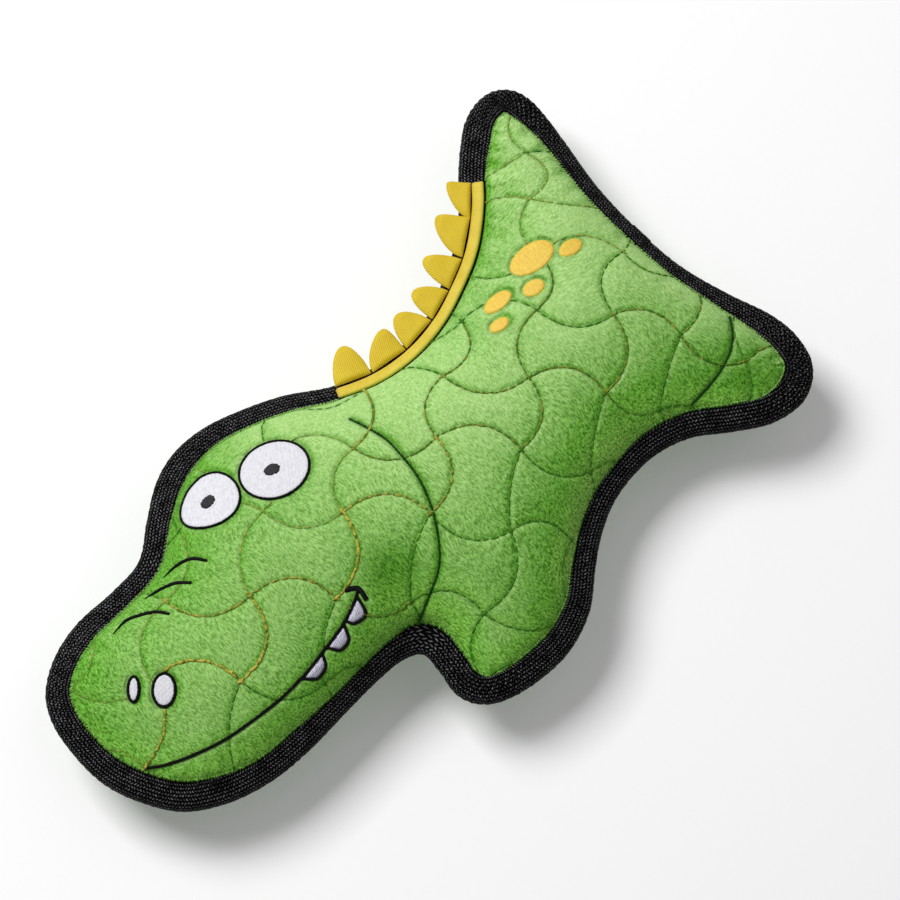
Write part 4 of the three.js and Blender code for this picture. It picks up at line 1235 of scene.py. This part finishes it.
def add_spikes(finish):
    joints = {joint["name"]: joint for joint in frame["joints"]}
    for n, (lean, reach) in enumerate(SPIKES, 1):
        joint = joints[f"spike_{n}_bend"]
        hinge = np.array(joint["pos_m"]) / MM
        across = np.array(joint["axis"], float)
        out = np.array([-across[1], across[0], 0])
        half_width = spike_half_width(n, across)
        grid, uv_grid = spike_points(half_width, lean, reach)
        rows, columns = grid.shape[:2]
        front = grid.reshape(-1, 3)
        back = front * (1, 1, -1)
        points = np.vstack([front, back])
        placed = hinge + points[:, :1] * across + points[:, 1:2] * out + points[:, 2:] * (0, 0, 1)
        faces, uv = [], []
        flat = uv_grid.reshape(-1, 2)
        count = rows * columns
        order = np.arange(count).reshape(rows, columns)
        for a in order[:-1, :-1].ravel().tolist():
            loop = [a, a + 1, a + 1 + columns, a + columns]
            faces += [tuple(loop), tuple(k + count for k in loop[::-1])]
            uv += [flat[k] for k in loop] + [flat[k] for k in loop[::-1]]
        rim_loop = np.r_[order[0], order[1:, -1], order[-1, -2::-1], order[-2:0:-1, 0]].tolist()
        for a, b in zip(rim_loop, rim_loop[1:] + rim_loop[:1]):
            faces.append((b, a, a + count, b + count))
            uv += [flat[b], flat[a], flat[a], flat[b]]
        made = piece(f"spike_{n}_petal", placed, faces, finish, f"spike_{n}_flap", uv=uv)
        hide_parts(f"spike_{n}")


# Stitches by Geometry Nodes, and tufts

class Growth:
    """A Geometry Nodes tree with named sizes, which makes many small pieces along lines."""

    def __init__(self, name, sizes):
        self.tree = bpy.data.node_groups.new(name, "GeometryNodeTree")
        sockets = self.tree.interface
        sockets.new_socket("Geometry", in_out="INPUT", socket_type="NodeSocketGeometry")
        self.sizes = {}
        for key, value in sizes.items():
            kind = "NodeSocketMaterial" if key == "Material" else "NodeSocketFloat"
            socket = sockets.new_socket(key, in_out="INPUT", socket_type=kind)
            self.sizes[key] = (socket.identifier, value)
        sockets.new_socket("Geometry", in_out="OUTPUT", socket_type="NodeSocketGeometry")
        self.start = self.tree.nodes.new("NodeGroupInput")

    def size(self, key):
        return self.start.outputs[key]

    def node(self, kind, inputs, **settings):
        made = self.tree.nodes.new(kind)
        for key, value in settings.items():
            setattr(made, key, value)
        for key, value in inputs.items():
            socket = made.inputs[key]
            if isinstance(value, bpy.types.NodeSocket):
                self.tree.links.new(value, socket)
            else:
                socket.default_value = value
        return made.outputs

    def grown(self, name, source, instances):
        """Turns the instances on a source object into a plain piece."""
        real = self.node("GeometryNodeRealizeInstances", {0: instances})
        painted = self.node("GeometryNodeSetMaterial",
                            {"Geometry": real[0], "Material": self.size("Material")})
        self.tree.links.new(painted[0], self.tree.nodes.new("NodeGroupOutput").inputs[0])
        modifier = source.modifiers.new(name, "NODES")
        modifier.node_group = self.tree
        for identifier, value in self.sizes.values():
            modifier[identifier] = value
        graph = bpy.context.evaluated_depsgraph_get()
        mesh = bpy.data.meshes.new_from_object(source.evaluated_get(graph), depsgraph=graph)
        source.modifiers.remove(modifier)
        bpy.data.objects.remove(source)
        mesh.polygons.foreach_set("use_smooth", [True] * len(mesh.polygons))
        made = added(name, mesh)
        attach(made, "toy")


def line_object(lines):
    """Lines of points in millimetres as one curve object."""
    curve = bpy.data.curves.new("lines", "CURVE")
    curve.dimensions = "3D"
    for line in lines:
        spline = curve.splines.new("POLY")
        spline.points.add(len(line) - 1)
        spline.points.foreach_set("co", np.c_[np.asarray(line) * MM, np.ones(len(line))].ravel())
    return added("lines", curve)


def add_stitches(name, lines, kind, material):
    """A row of stitches along each line."""
    pitch, length, width, _ = STITCHES[kind]
    sizes = {"Pitch": pitch * MM, "Length": length * MM / 2, "Width": width * MM / 2, "Material": material}
    growth = Growth(name, sizes)
    spaced = growth.node("GeometryNodeCurveToPoints",
                         {"Curve": growth.start.outputs["Geometry"], "Length": growth.size("Pitch")},
                         mode="LENGTH")
    stitch = growth.node("GeometryNodeMeshUVSphere", {"Segments": 8, "Rings": 5, "Radius": 1.0})
    scale = growth.node("ShaderNodeCombineXYZ", {0: growth.size("Width"), 1: growth.size("Width"),
                                                 2: growth.size("Length")})
    uneven = growth.node("FunctionNodeRandomValue", {2: 0.72, 3: 1.12, "Seed": 4}, data_type="FLOAT")
    scaled = growth.node("ShaderNodeVectorMath", {0: scale[0], "Scale": uneven[1]}, operation="SCALE")
    placed = growth.node("GeometryNodeInstanceOnPoints",
                         {"Points": spaced["Points"], "Instance": stitch["Mesh"],
                          "Rotation": spaced["Rotation"], "Scale": scaled[0]})
    growth.grown(name, line_object(lines), placed[0])


def on_skin(side, lines, kind):
    """Lines at the height at which a kind of stitch lies over the plush."""
    return [np.c_[line[:, :2], skin(side, line) + side * STITCHES[kind][3]] for line in lines]


def on_webbing(side, away):
    """A line round the webbing, at a distance from its inner edge."""
    depth = edge[:, 2] - away
    level = leg_height(edge[:, 2], depth) + WEAVE["ridge"] * 0.5
    line = np.c_[inset(depth), SEAM_HEIGHT + side * level]
    return np.vstack([line, line[:1]])


def add_fringe(name, side, material):
    """Pile that leans out over the webbing, longest where the nap runs towards it."""
    random = np.random.default_rng(FRINGE["seeds"][side])
    points, faces = [], []
    for depth in FRINGE["depths"]:
        places = inset(edge[:, 2] + CLEARANCE + depth)
        row = np.c_[places, skin(side, places)]
        for k in range(EDGE_COUNT):
            out = -inward[k]
            downhill = max(0.0, float(out @ UPWARDS) * -1)
            if side > 0 and RIDGE_SHARE[k] > 0.5:
                continue
            longest = FRINGE["reach"] + FRINGE["downhill"] * downhill
            for _ in range(FRINGE["each"]):
                reach = longest * random.uniform(0.5, 1.25) + depth
                direction = out + heading[k] * random.uniform(-0.6, 0.6)
                base = row[k] + np.r_[heading[k] * random.uniform(-0.4, 0.4), 0]
                tip = base + np.r_[direction * reach, side * random.uniform(-0.1, 0.3)]
                wide = np.r_[heading[k], 0] * FRINGE["wide"]
                low = base - np.r_[out * 0.2, side * 0.4]
                start = len(points)
                points += [base - wide, base + wide, low, tip]
                faces += [(start, start + 1, start + 3), (start + 1, start + 2, start + 3),
                          (start + 2, start, start + 3), (start + 1, start, start + 2)]
    if side < 0:
        faces = [face[::-1] for face in faces]
    piece(name, np.array(points), faces, material)


def wandering(line):
    """The same line, sewn a little unevenly."""
    return line + np.stack([ripple(line, 1.6, 21), ripple(line, 1.6, 22)], 1) * 0.3


def add_quilting(name, side, finishes):
    """Quilting stitches, proud and golden where the nap leaves them bare, sunk and green elsewhere, the
    green being the pile over them and painted shade.
    """
    for kind, lines in (quilt_kinds if side > 0 else {"sunk": back_quilt}).items():
        lines = on_skin(side, [wandering(line) for line in lines], kind)
        add_stitches(f"{name}_{kind}_quilting", lines, kind, finishes[kind + "_thread"])


def add_panels(finishes):
    """Both panels, with all that is sewn into them."""
    for side, name in ((1, "front"), (-1, "back")):
        points, faces, shades = panel(side)
        made = piece(name + "_panel", points, faces, finishes["plush"])
        for shade, values in shades.items():
            made.data.attributes.new(shade, "FLOAT", "POINT").data.foreach_set("value", values)
        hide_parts(name + "_cover")
        add_quilting(name, side, finishes)
        add_fringe(name + "_fringe", side, finishes["plush"])
        lines = [on_webbing(side, EDGE_STITCH_DEPTH)]
        add_stitches(name + "_edge_stitches", lines, "edge", finishes["black_thread"])
    lines = on_skin(1, [head_seam, foot_seam], "seam")
    add_stitches("seam_stitches", lines, "seam", finishes["seam_thread"])


def paint_inside(finishes):
    """Looks for the solids inside, which stay."""
    for name, node in frame["nodes"].items():
        for start, finish in INSIDE_FINISHES.items():
            if name.startswith(start):
                node.data.materials.clear()
                node.data.materials.append(finishes[finish])


# Stage

def add_floor():
    mesh = bpy.data.meshes.new("floor")
    half, level = FLOOR["half"], FLOOR["level"]
    corners = [(x, y, level) for x, y in ((-half, -half), (half, -half), (half, half), (-half, half))]
    mesh.from_pydata(corners, [], [(0, 1, 2, 3)])
    mesh.materials.append(floor_finish())
    added("floor", mesh)


def add_camera():
    azimuth, elevation = math.radians(VIEW["azimuth"]), math.radians(VIEW["elevation"])
    back = Vector((math.sin(azimuth) * math.cos(elevation), -math.cos(azimuth) * math.cos(elevation),
                   math.sin(elevation)))
    lens = bpy.data.cameras.new("view")
    lens.lens = VIEW["lens"]
    lens.sensor_width = VIEW["sensor"]
    lens.clip_start = 0.05
    camera = added("view", lens)
    camera.location = Vector(VIEW["target"]) * MM + back * VIEW["distance"] * MM
    camera.rotation_euler = back.to_track_quat("Z", "Y").to_euler()
    bpy.context.scene.camera = camera


def add_light():
    bpy.context.scene.view_settings.view_transform = "Standard"
    world = bpy.data.worlds.new("studio")
    world.use_nodes = True
    sky = world.node_tree.nodes["Background"]
    sky.inputs[0].default_value = (1, 1, 1, 1)
    sky.inputs[1].default_value = SKY
    bpy.context.scene.world = world
    for name, (right, top, up), side, watts in LAMPS:
        lamp = bpy.data.lights.new(name, "AREA")
        lamp.size = side
        lamp.energy = watts
        made = added(name, lamp)
        plan = np.array(ACROSS) * right + np.array(UPWARDS) * top
        made.location = (plan[0] + LAMPS_ROUND, plan[1], up)
        made.rotation_euler = Vector(made.location).to_track_quat("Z", "Y").to_euler()


def build():
    finishes = {
        "plush": plush_finish(),
        "webbing": webbing_finish(),
        "ribbed": ribbed_finish("ribbed_ribbon", tone(242, 213, 50), tone(229, 197, 34)),
        "tape": tape_finish(),
        "black": satin_finish("black_satin", tone(17, 16, 18), tone(3, 3, 4), 0.12),
        "black_field": filled_finish("black_fill", tone(44, 42, 46), tone(4, 4, 5), 0.4, 0.8, 0.7),
        "white": filled_finish("white_fill", tone(240, 240, 244), tone(206, 206, 216), 0.8, 0.5),
        "ivory": filled_finish("tooth_fill", tone(232, 230, 242), tone(150, 148, 178), 1.2, 0.7),
        "gold": filled_finish("gold_fill", tone(250, 217, 88), tone(228, 178, 50), 0.3, 0.6),
        "cloth": cloth_finish("backing_cloth", tone(226, 223, 212), tone(196, 192, 180), 0.9),
        "fibre": fibre_finish(),
        "soft": moulded_finish("soft_plastic", tone(232, 229, 220), tone(214, 210, 200), 0.4),
        "hard": moulded_finish("hard_plastic", tone(190, 193, 197), tone(172, 175, 180), 0.3),
    }
    for kind, (pale, dark, shown) in THREAD_TONES.items():
        name = kind + "_thread"
        finishes[name] = thread_finish(name, tone(*pale), tone(*dark), shown)
    add_camera()
    add_light()
    add_floor()
    add_panels(finishes)
    add_webbing(finishes["webbing"])
    add_tape(finishes["tape"])
    add_spikes(finishes["ribbed"])
    add_embroidery(finishes)
    paint_inside(finishes)


build()
